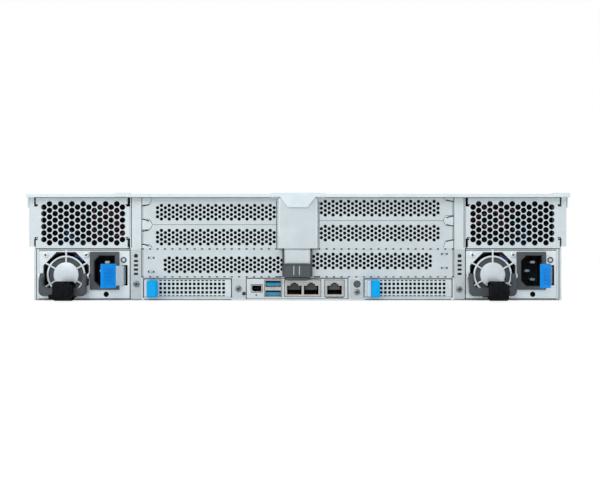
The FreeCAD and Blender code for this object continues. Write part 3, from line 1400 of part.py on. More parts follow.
# ---------------------------------------------------------------------------------------------
# Front
# ---------------------------------------------------------------------------------------------
def carrier_places():
    middle = (CARRIERS - 1) / 2
    return [carrier_pitch * (step - middle) for step in range(CARRIERS)]


def drive_cage():
    """Cage round the four drives: a floor, a roof and three dividers."""
    piece = Piece("drive_cage")
    half = half_base - s.sheet - s.fit_gap
    low = s.sheet + s.fit_gap
    start = front - s.sheet - s.cage_length
    piece.pad("y", start, s.cage_length, rectangle(-half, half, low, s.cage_top))
    half_bay = carrier_width / 2 + s.carrier_side_gap
    bay = rectangle(carrier_places()[0] - half_bay, carrier_places()[0] + half_bay,
                    s.carrier_bottom - s.fit_gap, s.carrier_bottom + s.carrier_height + s.fit_gap)
    first = piece.pocket("y", start, s.cage_length, bay)
    piece.repeat(first, carrier_pitch, CARRIERS)


def drive_backplane():
    """Board behind the drives that their connectors plug into, with air slots along its top."""
    piece = Piece("drive_backplane")
    thick = s.backplane_thick
    start = front - s.sheet - s.cage_length - s.backplane_gap - thick
    half = half_base - s.sheet - s.backplane_side_gap
    piece.pad("y", start, thick,
              rectangle(-half, half, s.sheet + s.fit_gap, s.cage_top + s.backplane_rise))
    x, low = carrier_places()[0], s.cage_top + s.backplane_slot_rise
    slot = rectangle(x - s.backplane_slot_width / 2, x + s.backplane_slot_width / 2,
                     low, low + s.backplane_slot_height)
    first = piece.pocket("y", start, thick, slot)
    piece.repeat(first, carrier_pitch, CARRIERS)


def drive_carrier(at, x):
    """Drive in its tray, with a bezel whose recess holds the lever on an upright pin."""
    piece = Piece(f"drive_carrier_{at}", x, front, s.carrier_bottom)
    half = carrier_width / 2
    depth = s.carrier_bezel
    length = s.cage_length + s.sheet
    piece.pad("y", -length, length - depth, rectangle(-half, half, 0, s.carrier_height - s.sheet))
    piece.pad("y", -depth, depth, rectangle(-half, half, 0, s.carrier_height))
    rim = s.carrier_rim
    floor = s.carrier_lever_thick + s.fit_gap
    recess = rectangle(-half + rim, half - rim, carrier_lever_low - s.fit_gap,
                       carrier_lever_low + s.carrier_lever_height + s.fit_gap)
    piece.pocket("y", -floor, floor, recess)
    pin = polygon(PIN_SIDES, carrier_pivot_x, carrier_pivot_y, 2 * s.carrier_pin_radius)
    piece.pad("z", carrier_lever_low - s.sheet, s.carrier_lever_height + 2 * s.sheet, pin)
    first = piece.pocket("y", -depth / 2, depth / 2,
                         rectangle(-half + rim, -half + rim + s.carrier_slot_width,
                                   rim, carrier_lever_low - rim))
    span = 2 * (half - rim) - s.carrier_slot_width
    piece.repeat(first, span / (s.carrier_slots - 1), s.carrier_slots)


def drive_lever(at, x):
    """Carrier lever: it turns on the carrier's pin and lies flush in the bezel."""
    piece = Piece(f"drive_lever_{at}", x, front, s.carrier_bottom)
    half = carrier_width / 2
    thick, end = s.carrier_lever_thick, s.carrier_lever_thick / 2
    free_end = -half + s.carrier_rim + s.finger_gap
    outline = [
        (carrier_pivot_x + end, -end),
        (carrier_pivot_x + end / 2, -thick),
        (free_end + thick, -thick),
        (free_end, -end),
        (free_end, 0),
        (carrier_pivot_x + end / 2, 0),
    ]
    bore = polygon(PIN_SIDES, carrier_pivot_x, carrier_pivot_y,
                   2 * (s.carrier_pin_radius + s.pin_gap))
    piece.pad("z", carrier_lever_low, s.carrier_lever_height, outline, bore)


def front_panel():
    """Intake panel above the drives, with two rows of openings."""
    piece = Piece("intake_panel")
    half, low_half = half_width - s.sheet - s.fit_gap, half_base - s.sheet - s.fit_gap
    step = s.step_height + s.sheet + s.fit_gap
    right = [
        (low_half, s.cage_top + s.fit_gap),
        (low_half, step),
        (half, step),
        (half, s.intake_top - s.sheet),
    ]
    piece.pad("y", front - s.sheet, s.sheet, right + mirrored(right))
    pitch = (2 * half_base - s.intake_spare) / s.intake_slots
    x, half_w = -pitch * (s.intake_slots - 1) / 2, s.intake_slot_width / 2
    low = s.cage_top + s.intake_start
    opening = rectangle(x - half_w, x + half_w, low, low + s.intake_slot_height)
    first = piece.pocket("y", front - s.sheet, s.sheet, opening)
    piece.repeat(first, pitch, s.intake_slots, s.intake_slot_rise, 2)


def front_cover():
    """Fixed cover over the drives."""
    piece = Piece("front_cover")
    outer = cover_half
    inner = half_width + s.fit_gap
    outline = [
        (outer, flange_low),
        (outer, skin_top),
        (-outer, skin_top),
        (-outer, flange_low),
        (-inner, flange_low),
        (-inner, skin_bottom),
        (inner, skin_bottom),
        (inner, flange_low),
    ]
    piece.pad("y", front - s.front_cover_length, s.front_cover_length - s.ear_sheet, outline)


def rack_ear(name, side):
    """Rack ear: a face flange with two slotted holes, and a wing along the side wall."""
    piece = Piece(f"rack_ear_{name}")
    face = rectangle(half_width, ear_edge, s.ear_bottom, s.ear_top)
    piece.pad("y", front - s.ear_sheet, s.ear_sheet, sided(side, face))
    wing = rectangle(half_width, half_width + s.ear_sheet,
                     s.step_height + s.ear_sheet, flange_low - s.fit_gap)
    piece.pad("y", front - s.ear_wing, s.ear_wing - s.ear_sheet, sided(side, wing))
    radius = s.rack_hole_radius
    reach = s.rack_hole_length / 2 - radius
    x = ear_edge - s.rack_hole_inset
    for rise in (-0.5, 0.5):
        z = s.rack_hole_middle + s.rack_hole_rise * rise
        bar = rectangle(x - reach, x + reach, z - radius, z + radius)
        piece.pocket("y", front - s.ear_sheet, s.ear_sheet, sided(side, bar))
        for end in (-1, 1):
            centre = (x + reach * end) * side
            piece.pocket("y", front - s.ear_sheet, s.ear_sheet, (centre, z, radius))
    if side > 0:
        hole = polygon(PIN_SIDES, power_button_x, s.rack_hole_middle, 2 * (s.power_radius + s.fit_gap))
        piece.pocket("y", front - s.ear_sheet, s.ear_sheet, hole)


def power_button():
    """Power button in the right ear, held by a collar behind it."""
    proud = s.button_travel + s.fit_gap
    reach = s.ear_sheet + s.fit_gap + s.button_collar
    stem = prism("power_stem", "y", s.power_radius, power_button_x, front - reach,
                    s.rack_hole_middle, reach + proud)
    half = s.power_radius + s.button_collar
    start = front - reach
    collar = box("power_collar", power_button_x - half, power_button_x + half,
                 start, start + s.button_collar, s.rack_hole_middle - half, s.rack_hole_middle + half)
    keep("power_button", join("power_button_solid", [stem, collar]))


# ---------------------------------------------------------------------------------------------
# Top cover
# ---------------------------------------------------------------------------------------------
def top_cover():
    """Sliding cover: skin, side flanges, rear lip with raised stretches, and a middle tongue."""
    piece = Piece("top_cover")
    inner = half_width + s.fit_gap
    length = cover_front - rear
    outline = [
        (cover_half, flange_low),
        (cover_half, skin_top),
        (-cover_half, skin_top),
        (-cover_half, flange_low),
        (-inner, flange_low),
        (-inner, skin_bottom),
        (inner, skin_bottom),
        (inner, flange_low),
    ]
    piece.pad("y", rear, length, outline)
    lip_low = skin_bottom - s.rear_lip_height
    piece.pad("y", cover_rear, s.rear_lip_reach,
              rectangle(-cover_half, cover_half, skin_bottom, skin_top))
    piece.pad("y", cover_rear, s.cover_skin,
              rectangle(-cover_half, cover_half, lip_low, skin_bottom))
    stretches = [
        (-bay_inner - s.lip_pillar_length, -bay_inner),
        (-s.lip_middle_length / 2, s.lip_middle_length / 2),
        (cover_half - s.lip_end_length, cover_half),
    ]
    raised = [rectangle(x0, x1, skin_bottom - s.lip_rise_low, skin_top + s.lip_raise)
              for x0, x1 in stretches]
    piece.pad("y", cover_rear - s.lip_raise, s.lip_raise, *raised)
    humps = [rectangle(x0, x1, skin_top, skin_top + s.lip_raise) for x0, x1 in stretches]
    piece.pad("y", cover_rear, s.lip_raise_length, *humps)
    tongue = [
        (-s.tongue_bottom / 2, s.tongue_end),
        (s.tongue_bottom / 2, s.tongue_end),
        (s.tongue_top / 2, lip_low),
        (s.tongue_top / 2, skin_bottom),
        (-s.tongue_top / 2, skin_bottom),
        (-s.tongue_top / 2, lip_low),
    ]
    piece.pad("y", cover_rear - s.lip_raise, s.lip_raise, tongue)
    latch_recess(piece)


tray_rear = s.latch_tray_rear
tray_front = s.latch_tray_rear + s.latch_plate_length + s.latch_pin_inset
tray_middle = skin_top - s.latch_tray_depth / 2


def latch_recess(piece):
    """Tray pressed into the cover for its latch."""
    half = s.latch_plate_width / 2 + s.fit_gap
    wall = s.cover_skin
    floor = skin_top - s.latch_tray_depth
    piece.pad("z", floor - wall, skin_bottom - floor + wall,
              rectangle(-half - wall, half + wall, tray_rear - wall, tray_front + wall))
    piece.pocket("z", floor, s.latch_tray_depth, rectangle(-half, half, tray_rear, tray_front))
    pivot = (tray_front - s.latch_pin_inset, tray_middle, s.latch_pin_radius + s.pin_gap)
    piece.pocket("x", -half - wall, 2 * (half + wall), pivot)


def cover_latch():
    """Latch plate in the cover's tray; lifting it drives the cover back off its hooks."""
    piece = Piece("cover_latch")
    half = s.latch_plate_width / 2
    y0, pin = tray_rear + s.latch_rear_gap, tray_front - s.latch_pin_inset
    low, high = tray_middle - s.latch_plate_thick / 2, tray_middle + s.latch_plate_thick / 2
    outline = [
        (y0, low + s.latch_edge),
        (y0 + s.latch_edge, low),
        (pin + s.latch_edge, low),
        (pin + s.latch_edge + s.latch_nose, tray_middle),
        (pin + s.latch_edge, high),
        (y0, high),
    ]
    piece.pad("x", -half, 2 * half, outline)
    piece.pad("x", -half - s.cover_skin, 2 * (half + s.cover_skin),
              (pin, tray_middle, s.latch_pin_radius))
    grip = tray_rear + s.latch_grip_start
    across = half - s.latch_grip_side
    dip = rectangle(-across, across, grip, grip + s.latch_grip_length)
    piece.pocket("z", tray_middle, s.latch_plate_thick, dip)


# ---------------------------------------------------------------------------------------------
# The whole server
# ---------------------------------------------------------------------------------------------
def build():
    base_pan()
    rear_frame()
    for name, (side, _) in RISERS.items():
        vent_panel(name, side)
    card_slots()
    riser_cages()
    slot_bridge()
    slot_lever()
    io_plate()
    ports()
    locator_button()
    rear_screws()
    for name, left in zip(RISERS, card_left_edges()):
        card_module(name, left)
    power_supplies()
    mainboard()
    heatsinks()
    memory_modules()
    air_duct()
    chassis_fans()
    drive_cage()
    drive_backplane()
    for at, x in enumerate(carrier_places(), start=1):
        drive_carrier(at, x)
        drive_lever(at, x)
    front_panel()
    front_cover()
    for name, (side, _) in RISERS.items():
        rack_ear(name, side)
    power_button()
    top_cover()
    cover_latch()
    doc.recompute()


def export():
    """Stops on anything that failed, then writes one STEP file for each sub-part."""
    for thing in doc.Objects:
        if "Invalid" in thing.State or "Error" in thing.State:
            raise RuntimeError(f"{thing.Label} failed: {thing.State}")
    for label, thing in nodes.items():
        if thing.Shape.isNull() or not thing.Shape.isValid() or not thing.Shape.Solids:
            raise RuntimeError(f"{label} has no valid solid")
    os.makedirs(PARTS_FOLDER, exist_ok=True)
    for label, thing in nodes.items():
        thing.Shape.exportStep(os.path.join(PARTS_FOLDER, f"{label}.step"))
    print(f"{len(nodes)} sub-parts")


build()
export()
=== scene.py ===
# %% [markdown]
# A two-unit rack server seen from behind. The steel, the sockets and everything that moves come
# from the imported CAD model, which is the frame of this scene. Each cell below adds one finish or
# one piece to it, in metres, where the real piece sits.

# %% The frame
import json
import math
import random

import bmesh
import bpy
from mathutils import Matrix, Vector


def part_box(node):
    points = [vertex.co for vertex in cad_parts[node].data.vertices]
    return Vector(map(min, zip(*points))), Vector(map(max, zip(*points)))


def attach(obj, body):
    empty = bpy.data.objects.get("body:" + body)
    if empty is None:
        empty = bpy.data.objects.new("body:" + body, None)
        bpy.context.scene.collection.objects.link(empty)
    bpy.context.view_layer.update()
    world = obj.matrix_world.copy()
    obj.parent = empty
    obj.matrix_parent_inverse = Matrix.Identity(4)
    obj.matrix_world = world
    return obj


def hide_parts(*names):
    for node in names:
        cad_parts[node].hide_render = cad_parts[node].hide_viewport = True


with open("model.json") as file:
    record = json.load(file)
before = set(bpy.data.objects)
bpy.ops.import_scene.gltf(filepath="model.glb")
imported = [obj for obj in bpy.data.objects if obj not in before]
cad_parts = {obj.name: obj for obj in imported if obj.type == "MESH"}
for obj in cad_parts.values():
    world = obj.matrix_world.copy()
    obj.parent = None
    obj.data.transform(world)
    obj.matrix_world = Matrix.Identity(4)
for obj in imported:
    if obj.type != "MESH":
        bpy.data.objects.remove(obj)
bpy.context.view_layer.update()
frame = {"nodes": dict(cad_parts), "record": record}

MM = 0.001

# %% [markdown]
# Node trees are long to write out by hand. A small helper adds a node, sets its choices and joins
# its inputs, so that a tree below reads from its first node to its last.


# %% Helpers for node trees and objects
class Tree:
    """A node tree being built. add() makes a node; an input is a value, a socket or a node."""

    def __init__(self, tree):
        self.tree = tree

    def add(self, kind, inputs=None, **choices):
        node = self.tree.nodes.new(kind)
        for name, value in choices.items():
            setattr(node, name, value)
        for name, value in (inputs or {}).items():
            self.join(node.inputs[name], value)
        return node

    def join(self, socket, value):
        if isinstance(value, bpy.types.Node):
            value = value.outputs[0]
        if isinstance(value, bpy.types.NodeSocket):
            self.tree.links.new(value, socket)
        else:
            socket.default_value = value

    def sum(self, one, other, operation="ADD"):
        return self.add("ShaderNodeMath", {0: one, 1: other}, operation=operation)


def empty_tree(owner):
    """The cleared node tree of a material or a world."""
    owner.use_nodes = True
    owner.node_tree.nodes.clear()
    return Tree(owner.node_tree)


def shown(name, data):
    """An object for a mesh, a lamp or a camera, linked to the scene."""
    made = bpy.data.objects.new(name, data)
    bpy.context.scene.collection.objects.link(made)
    return made


print("helpers:", Tree.__name__, empty_tree.__name__, shown.__name__)

# %% [markdown]
# Sheet steel, mouldings and boards differ in three things: how the colour wanders, how the gloss
# wanders, and what fine relief catches the light. One builder takes those three as numbers. The
# pattern is read in the object's own coordinates, so it has the same size on every piece.


# %% Finishes
FINISHES = {}


def rgb(red, green, blue):
    """A colour as the eye names it, from 0 to 255, turned into the linear values Blender uses."""
    shares = [value / 255 for value in (red, green, blue)]
    linear = [v / 12.92 if v <= 0.04045 else ((v + 0.055) / 1.055) ** 2.4 for v in shares]
    return (*linear, 1.0)


def finish(name, light, dark, gloss, metal=0.0, cloud=90.0, grain=1400.0, stretch=(1, 1, 1),
           relief=0.02, spangle=0.0, coat=0.0, shine=0.5):
    """A material: light and dark are its two colours, gloss its lowest and highest roughness,
    cloud and grain how many patches and grains there are to a metre, stretch the grain's run."""
    FINISHES[name] = bpy.data.materials.new(name)
    t = empty_tree(FINISHES[name])
    place = t.add("ShaderNodeTexCoord").outputs["Object"]
    clouds = t.add("ShaderNodeTexNoise", {"Vector": place, "Scale": cloud, "Detail": 3.0})
    run = t.add("ShaderNodeMapping", {"Vector": place, "Scale": stretch})
    grains = t.add("ShaderNodeTexNoise", {"Vector": run, "Scale": grain, "Detail": 4.0,
                                          "Roughness": 0.7})
    share = t.add("ShaderNodeMapRange", {"Value": clouds, "From Min": 0.3, "From Max": 0.7})
    if spangle:
        flakes = t.add("ShaderNodeTexVoronoi", {"Vector": place, "Scale": spangle})
        tint = t.add("ShaderNodeSeparateColor", {"Color": flakes.outputs["Color"]})
        share = t.add("ShaderNodeMix", {0: 0.45, 2: share, 3: tint})
    fine = t.add("ShaderNodeMix", {0: 0.3, 2: share, 3: grains})
    colour = t.add("ShaderNodeMix", {0: fine, 6: rgb(*dark), 7: rgb(*light)}, data_type="RGBA")
    rough = t.add("ShaderNodeMapRange", {"Value": grains, "From Min": 0.25, "From Max": 0.75,
                                         "To Min": gloss[0], "To Max": gloss[1]})
    bump = t.add("ShaderNodeBump", {"Height": grains, "Strength": 0.35,
                                    "Distance": relief * MM})
    shader = t.add("ShaderNodeBsdfPrincipled", {
        "Base Color": colour.outputs[2], "Roughness": rough, "Metallic": metal,
        "Normal": bump, "Coat Weight": coat, "Coat Roughness": 0.15,
        "Specular IOR Level": shine})
    t.add("ShaderNodeOutputMaterial", {"Surface": shader})


finish("zinc_sheet", (219, 229, 232), (204, 215, 219), (0.34, 0.5), 0.35, spangle=260)
finish("inner_sheet", (176, 184, 188), (150, 158, 163), (0.4, 0.55), 0.5, spangle=260)
# The lid's sheet is the zinc made lighter: a painted highlight for its lip, which the light from
# above makes bright.
finish("top_sheet", (226, 237, 240), (212, 224, 228), (0.36, 0.5), 0.25, relief=0.04)
finish("plated_sheet", (214, 223, 226), (201, 211, 215), (0.3, 0.46), 0.45, stretch=(1, 1, 0.06))
finish("supply_case", (232, 241, 245), (214, 225, 230), (0.3, 0.45), 0.4, stretch=(0.08, 1, 1))
finish("dark_moulding", (78, 84, 89), (64, 69, 74), (0.45, 0.62), relief=0.05)
finish("black_moulding", (24, 26, 30), (14, 15, 19), (0.6, 0.8), relief=0.05, shine=0.25)
finish("blue_moulding", (0, 148, 236), (0, 134, 220), (0.5, 0.62), shine=0.15)
finish("tab_blue", (0, 174, 240), (0, 160, 228), (0.5, 0.62), shine=0.15)
finish("strap_weave", (30, 31, 36), (6, 6, 8), (0.9, 1.0), cloud=900, grain=3800, relief=0.25,
       shine=0.1)
finish("port_shell", (206, 206, 203), (176, 176, 174), (0.22, 0.36), 0.85, relief=0.01)
finish("screw_steel", (146, 153, 157), (120, 127, 132), (0.3, 0.44), 0.7)
finish("pillar_sheet", (202, 210, 213), (188, 197, 200), (0.36, 0.5), 0.35, spangle=260)
finish("board_green", (26, 92, 58), (16, 62, 40), (0.35, 0.5), cloud=420, grain=2600)
finish("heatsink_metal", (206, 209, 212), (184, 188, 192), (0.25, 0.4), 0.8, stretch=(1, 0.05, 1))
finish("memory_board", (22, 70, 50), (14, 48, 34), (0.35, 0.5), cloud=420)
finish("ear_paint", (60, 62, 66), (46, 48, 52), (0.5, 0.66), grain=2200, relief=0.08)
finish("drive_body", (70, 73, 78), (52, 55, 60), (0.4, 0.56), 0.2)
finish("button_plastic", (92, 98, 103), (72, 79, 84), (0.3, 0.45))
finish("wire_red", (196, 60, 56), (168, 40, 40), (0.4, 0.5))
finish("wire_blue", (60, 120, 190), (40, 92, 160), (0.4, 0.5))
finish("clear_strip", (206, 218, 228), (190, 204, 216), (0.12, 0.24), coat=0.5)
finish("gold_contact", (214, 186, 120), (186, 152, 84), (0.22, 0.32), 0.9)
finish("bus_blue", (44, 146, 186), (26, 118, 160), (0.35, 0.5))
# This dark finish paints the shade in the seams, slits and holes of the rear face, and also
# colours a few small marks on it.
finish("seam_black", (34, 37, 40), (24, 26, 29), (0.8, 0.9))
finish("loom_red", (120, 60, 66), (90, 40, 48), (0.5, 0.6))
finish("loom_blue", (36, 84, 122), (24, 60, 92), (0.5, 0.6))
finish("lamp_green", (120, 214, 140), (90, 190, 116), (0.2, 0.3), coat=0.5)
print(len(FINISHES), "finishes")

# %% [markdown]
# A pressed or moulded edge is never sharp: it carries a thin bright line. A bevel modifier on the
# CAD meshes gives them that line. Their triangles are loose, so a weld comes before it.

# %% Finishes and soft edges for the CAD nodes
SLOTS = {part["node"]: part["material_slot"] for part in frame["record"]["subparts"]}
EDGES = {"dark_moulding": 0.35, "black_moulding": 0.3, "blue_moulding": 0.3, "zinc_sheet": 0.12,
         "top_sheet": 0.2, "plated_sheet": 0.2, "supply_case": 0.12, "drive_body": 0.3,
         "port_shell": 0.12}
SAME_POINT = 0.004 * MM


def soften(piece, width):
    """Welds a CAD mesh and rounds its edges by width, in millimetres."""
    piece.modifiers.new("weld", "WELD").merge_threshold = SAME_POINT
    edge = piece.modifiers.new("edge", "BEVEL")
    edge.width = width * MM
    edge.segments = 2
    edge.limit_method = "ANGLE"
    edge.angle_limit = math.radians(40)


for name, piece in frame["nodes"].items():
    piece.data.materials.clear()
    piece.data.materials.append(FINISHES[SLOTS[name]])
    if SLOTS[name] in EDGES:
        soften(piece, EDGES[SLOTS[name]])
print("dressed", len(SLOTS), "nodes")

# %% [markdown]
# Every piece rides on one body, so that it moves as the real one does, and may take the place of
# CAD nodes. The record knows fewer materials than this scene: a finish that is only a shade of
# one of them is listed against that material's slot.


# %% Helpers that tie a piece to the model
STANDS_FOR = {"tab_blue": "blue_moulding", "bus_blue": "blue_moulding",
              "clear_strip": "button_plastic", "lamp_green": "button_plastic",
              "gold_contact": "port_shell", "pillar_sheet": "zinc_sheet",
              **dict.fromkeys(("seam_black", "wire_red", "wire_blue", "loom_red", "loom_blue"),
                              "black_moulding")}


def span(node):
    """The low and the high corner of a CAD node's box, in millimetres."""
    return [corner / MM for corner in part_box(node)]


def belongs(piece, body, slot, *nodes):
    """Ties a finished piece to its body, in place of the CAD nodes named. The slot is not used."""
    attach(piece, body)
    if nodes:
        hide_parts(*nodes)
    print(piece.name, len(piece.data.polygons), "faces on", body)


def plain_mesh(name, net):
    """A mesh of what was drawn in a bmesh, its faces outward."""
    mesh = bpy.data.meshes.new(name)
    bmesh.ops.recalc_face_normals(net, faces=net.faces)
    net.to_mesh(mesh)
    net.free()
    return mesh


def smoothed(piece, angle):
    """Shades a piece smooth, apart from edges that bend by more than an angle in radians."""
    piece.data.shade_smooth()
    piece.data.set_sharp_from_angle(angle=angle)
    return piece


def place(name, net, look, body, *nodes, smooth=0.6, slot=None):
    """Makes a piece of a bmesh, gives it its finish and ties it to its body."""
    mesh = plain_mesh(name, net)
    mesh.materials.append(FINISHES[look])
    piece = smoothed(shown(name, mesh), smooth)
    belongs(piece, body, slot or STANDS_FOR.get(look, look), *nodes)


print(len(STANDS_FOR), "finishes stand for another slot")

# %% [markdown]
# The rear of a server breathes through punched steel. A punched sheet is an outline with rows of
# holes, filled and given its thickness. Geometry Nodes suit it: the hole, the rows and the steps
# are inputs, so one tree makes the vents, the slot covers and the card faces.


# %% A tree for punched sheet
def socket_tree(name, **sockets):
    """An empty geometry tree with named inputs. Gives it and its input node's outputs."""
    tree = bpy.data.node_groups.new(name, "GeometryNodeTree")
    for way in ("OUTPUT", "INPUT"):
        tree.interface.new_socket("Geometry", in_out=way, socket_type="NodeSocketGeometry")
    for label, kind in sockets.items():
        tree.interface.new_socket(label, in_out="INPUT", socket_type="NodeSocket" + kind)
    t = Tree(tree)
    return t, t.add("NodeGroupInput").outputs


def given_out(t, geometry, material):
    """The end of every tree: real geometry, in its finish."""
    real = t.add("GeometryNodeRealizeInstances", {"Geometry": geometry})
    t.add("NodeGroupOutput", {"Geometry": t.add(
        "GeometryNodeSetMaterial", {"Geometry": real, "Material": material})})
    return t.tree


def joined(t, *parts):
    both = t.add("GeometryNodeJoinGeometry")
    for part in parts:
        t.join(both.inputs[0], part)
    return both


def punched_sheet_tree():
    """Outline edges in the XY plane become a sheet from z = -thickness up to 0, with two grids of
    holes, the second between the rows of the first."""
    t, given = socket_tree(
        "punched_sheet", thickness="Float", hole_radius="Float", hole_sides="Int",
        hole_turn="Float", middle="Vector", across="Float", main_up="Float", main_columns="Int",
        main_rows="Int", other_up="Float", other_columns="Int", other_rows="Int",
        other_height="Float", corner="Float", material="Material")
    outline = t.add("GeometryNodeMeshToCurve", {"Mesh": given["Geometry"]})
    circle = t.add("GeometryNodeCurvePrimitiveCircle",
                   {"Resolution": given["hole_sides"], "Radius": given["hole_radius"]})
    soft = t.add("GeometryNodeFilletCurve",
                 {"Curve": circle, "Count": 2, "Radius": given["corner"]}, mode="POLY")
    some = t.sum(given["corner"], 0.0, "GREATER_THAN")
    picked = t.add("GeometryNodeSwitch", {"Switch": some, "False": circle, "True": soft},
                   input_type="GEOMETRY")
    turn = t.add("ShaderNodeCombineXYZ", {"Z": given["hole_turn"]})
    hole = t.add("GeometryNodeTransform", {"Geometry": picked, "Rotation": turn})
    grids = []
    for which, squash in (("main", 1.0), ("other", given["other_height"])):
        columns, rows, up = (given[f"{which}_{word}"] for word in ("columns", "rows", "up"))
        width = t.sum(t.sum(columns, 1, "SUBTRACT"), given["across"], "MULTIPLY")
        height = t.sum(t.sum(rows, 1, "SUBTRACT"), up, "MULTIPLY")
        grid = t.add("GeometryNodeMeshGrid", {"Size X": width, "Size Y": height,
                                              "Vertices X": columns, "Vertices Y": rows})
        at = t.add("GeometryNodeTransform",
                   {"Geometry": grid.outputs["Mesh"], "Translation": given["middle"]})
        shape = t.add("ShaderNodeCombineXYZ", {"X": 1.0, "Y": squash, "Z": 1.0})
        grids.append(t.add("GeometryNodeInstanceOnPoints",
                           {"Points": at, "Instance": hole, "Scale": shape}))
    cut = t.add("GeometryNodeRealizeInstances", {"Geometry": joined(t, *grids)})
    skin = t.add("GeometryNodeFillCurve", {"Curve": joined(t, outline, cut)}, mode="TRIANGLES")
    raised = t.add("GeometryNodeExtrudeMesh",
                   {"Mesh": skin, "Offset Scale": given["thickness"], "Individual": False})
    under = t.add("GeometryNodeFlipFaces", {"Mesh": skin})
    whole = t.add("GeometryNodeMergeByDistance",
                  {"Geometry": joined(t, raised, under), "Distance": 0.001 * MM})
    down = t.add("ShaderNodeCombineXYZ", {"Z": t.sum(0, given["thickness"], "SUBTRACT")})
    sheet = t.add("GeometryNodeTransform", {"Geometry": whole, "Translation": down})
    return given_out(t, sheet, given["material"])


PUNCHED = punched_sheet_tree()
print(len(PUNCHED.nodes), "nodes in", PUNCHED.name)

# %% [markdown]
# A tree runs as a modifier on a seed mesh. The result is kept as a plain mesh and the seed goes,
# so nothing live is left on a piece.


# %% Helpers that run a tree
def grown(name, mesh, tree, inputs):
    """Runs a geometry tree on a mesh and gives the plain mesh object that comes out."""
    seed = shown(name + "_seed", mesh)
    step = seed.modifiers.new("grow", "NODES")
    step.node_group = tree
    sockets = {item.name: item.identifier for item in tree.interface.items_tree
               if item.item_type == "SOCKET" and item.in_out == "INPUT"}
    for label, value in inputs.items():
        step[sockets[label]] = value
    ready = seed.evaluated_get(bpy.context.evaluated_depsgraph_get())
    made = bpy.data.meshes.new_from_object(ready)
    made.name = name
    bpy.data.objects.remove(seed)
    return shown(name, made)


STAND = Matrix.Rotation(math.radians(90), 4, "X")


def punched(name, y, thickness, slot, outline, middle, across, columns, rows, up, radius,
            other=(1, 1, 0.0), sides=12, turn=0.0, squash=1.0, corner=0.0):
    """A punched sheet inside an outline of (across, up) points, stood up with its outer face
    towards -Y at y. other is the second grid's columns, rows and step up."""
    seed = bpy.data.meshes.new(name)
    seed.from_pydata([(u * MM, v * MM, 0) for u, v in outline],
                     [(at, (at + 1) % len(outline)) for at in range(len(outline))], [])
    piece = grown(name, seed, PUNCHED, dict(
        thickness=thickness * MM, hole_radius=radius * MM, hole_sides=sides,
        hole_turn=math.radians(turn), middle=(middle[0] * MM, middle[1] * MM, 0),
        across=across * MM, main_up=up * MM, main_columns=columns, main_rows=rows,
        other_columns=other[0], other_rows=other[1], other_up=other[2] * MM,
        other_height=squash, corner=corner * MM, material=FINISHES[slot]))
    piece.data.transform(Matrix.Translation((0, y * MM, 0)) @ STAND)
    return piece


print("a sheet is stood up by", round(math.degrees(STAND.to_euler().x)), "degrees")

# %% [markdown]
# The outline of each punched sheet is already in the CAD model. It is read from there: the edges
# that only one triangle of the flat rear face touches run round it, and the longest run is the
# outside. The real holes are finer than the CAD model's, so only the outside is kept.


# %% Outlines from the CAD model
def runs(edges):
    """Chains the edges of a flat face into closed loops of (across, up), in millimetres."""
    onward = {}
    for edge in edges:
        for one, other in (edge.verts, reversed(edge.verts)):
            onward.setdefault(one.index, []).append(other)
    loops = []
    while onward:
        loop, at = [], next(iter(onward))
        while onward.get(at):
            point = onward[at].pop()
            onward[point.index] = [v for v in onward[point.index] if v.index != at]
            if not onward[at]:
                del onward[at]
            loop.append((point.co.x / MM, point.co.z / MM))
            at = point.index
        onward.pop(at, None)
        loops.append(loop)
    return loops


def spread(loop):
    """How wide and high a loop is, as one number that ranks it."""
    return sum(max(ends) - min(ends) for ends in zip(*loop))


def rear_outline(node):
    """The outer loop of a CAD node's rearmost flat face, and that face's y, in millimetres."""
    net = bmesh.new()
    net.from_mesh(frame["nodes"][node].data)
    bmesh.ops.remove_doubles(net, verts=net.verts, dist=SAME_POINT)
    net.verts.index_update()
    y = min(v.co.y for v in net.verts)
    flat = {f for f in net.faces if all(abs(v.co.y - y) < 0.01 * MM for v in f.verts)}
    rim = [e for e in net.edges if sum(f in flat for f in e.link_faces) == 1]
    outer = max(runs(rim), key=spread)
    net.free()
    return outer, y / MM


print("a vent panel's outline has", len(rear_outline("vent_panel_left")[0]), "points")

# %% [markdown]
# Most solid shapes here are blocks. A square one is a scaled cube. A moulded or pressed one is
# the same cube with its edges bevelled, because a real edge is always a little round.


# %% Helpers for blocks
def block(net, x0, x1, y0, y1, z0, z1):
    """A square block, in millimetres. Gives its eight corners."""
    size = Vector((x1 - x0, y1 - y0, z1 - z0)) * MM
    middle = Vector((x0 + x1, y0 + y1, z0 + z1)) * (MM / 2)
    return bmesh.ops.create_cube(net, size=1, matrix=Matrix.Translation(middle)
                                 @ Matrix.Diagonal((*size, 1)))["verts"]


def bevelled(net, edges, by, rounds=2):
    bmesh.ops.bevel(net, geom=list(edges), offset=by * MM, segments=rounds, affect="EDGES",
                    clamp_overlap=True)


def soft_block(net, x0, x1, y0, y1, z0, z1, corner=0.4, rounds=2):
    """A block with rounded edges."""
    corners = block(net, x0, x1, y0, y1, z0, z1)
    bevelled(net, {e for v in corners for e in v.link_edges}, corner, rounds)


def with_block(piece, *sides):
    """Adds a square block to a finished mesh."""
    net = bmesh.new()
    net.from_mesh(piece.data)
    block(net, *sides)
    net.to_mesh(piece.data)
    net.free()


print("helpers:", block.__name__, soft_block.__name__, with_block.__name__)

# %% [markdown]
# Over each power supply sits a panel of round holes, fifteen columns across, each column half a
# hole up or down from the next. The web between them is under a millimetre wide.

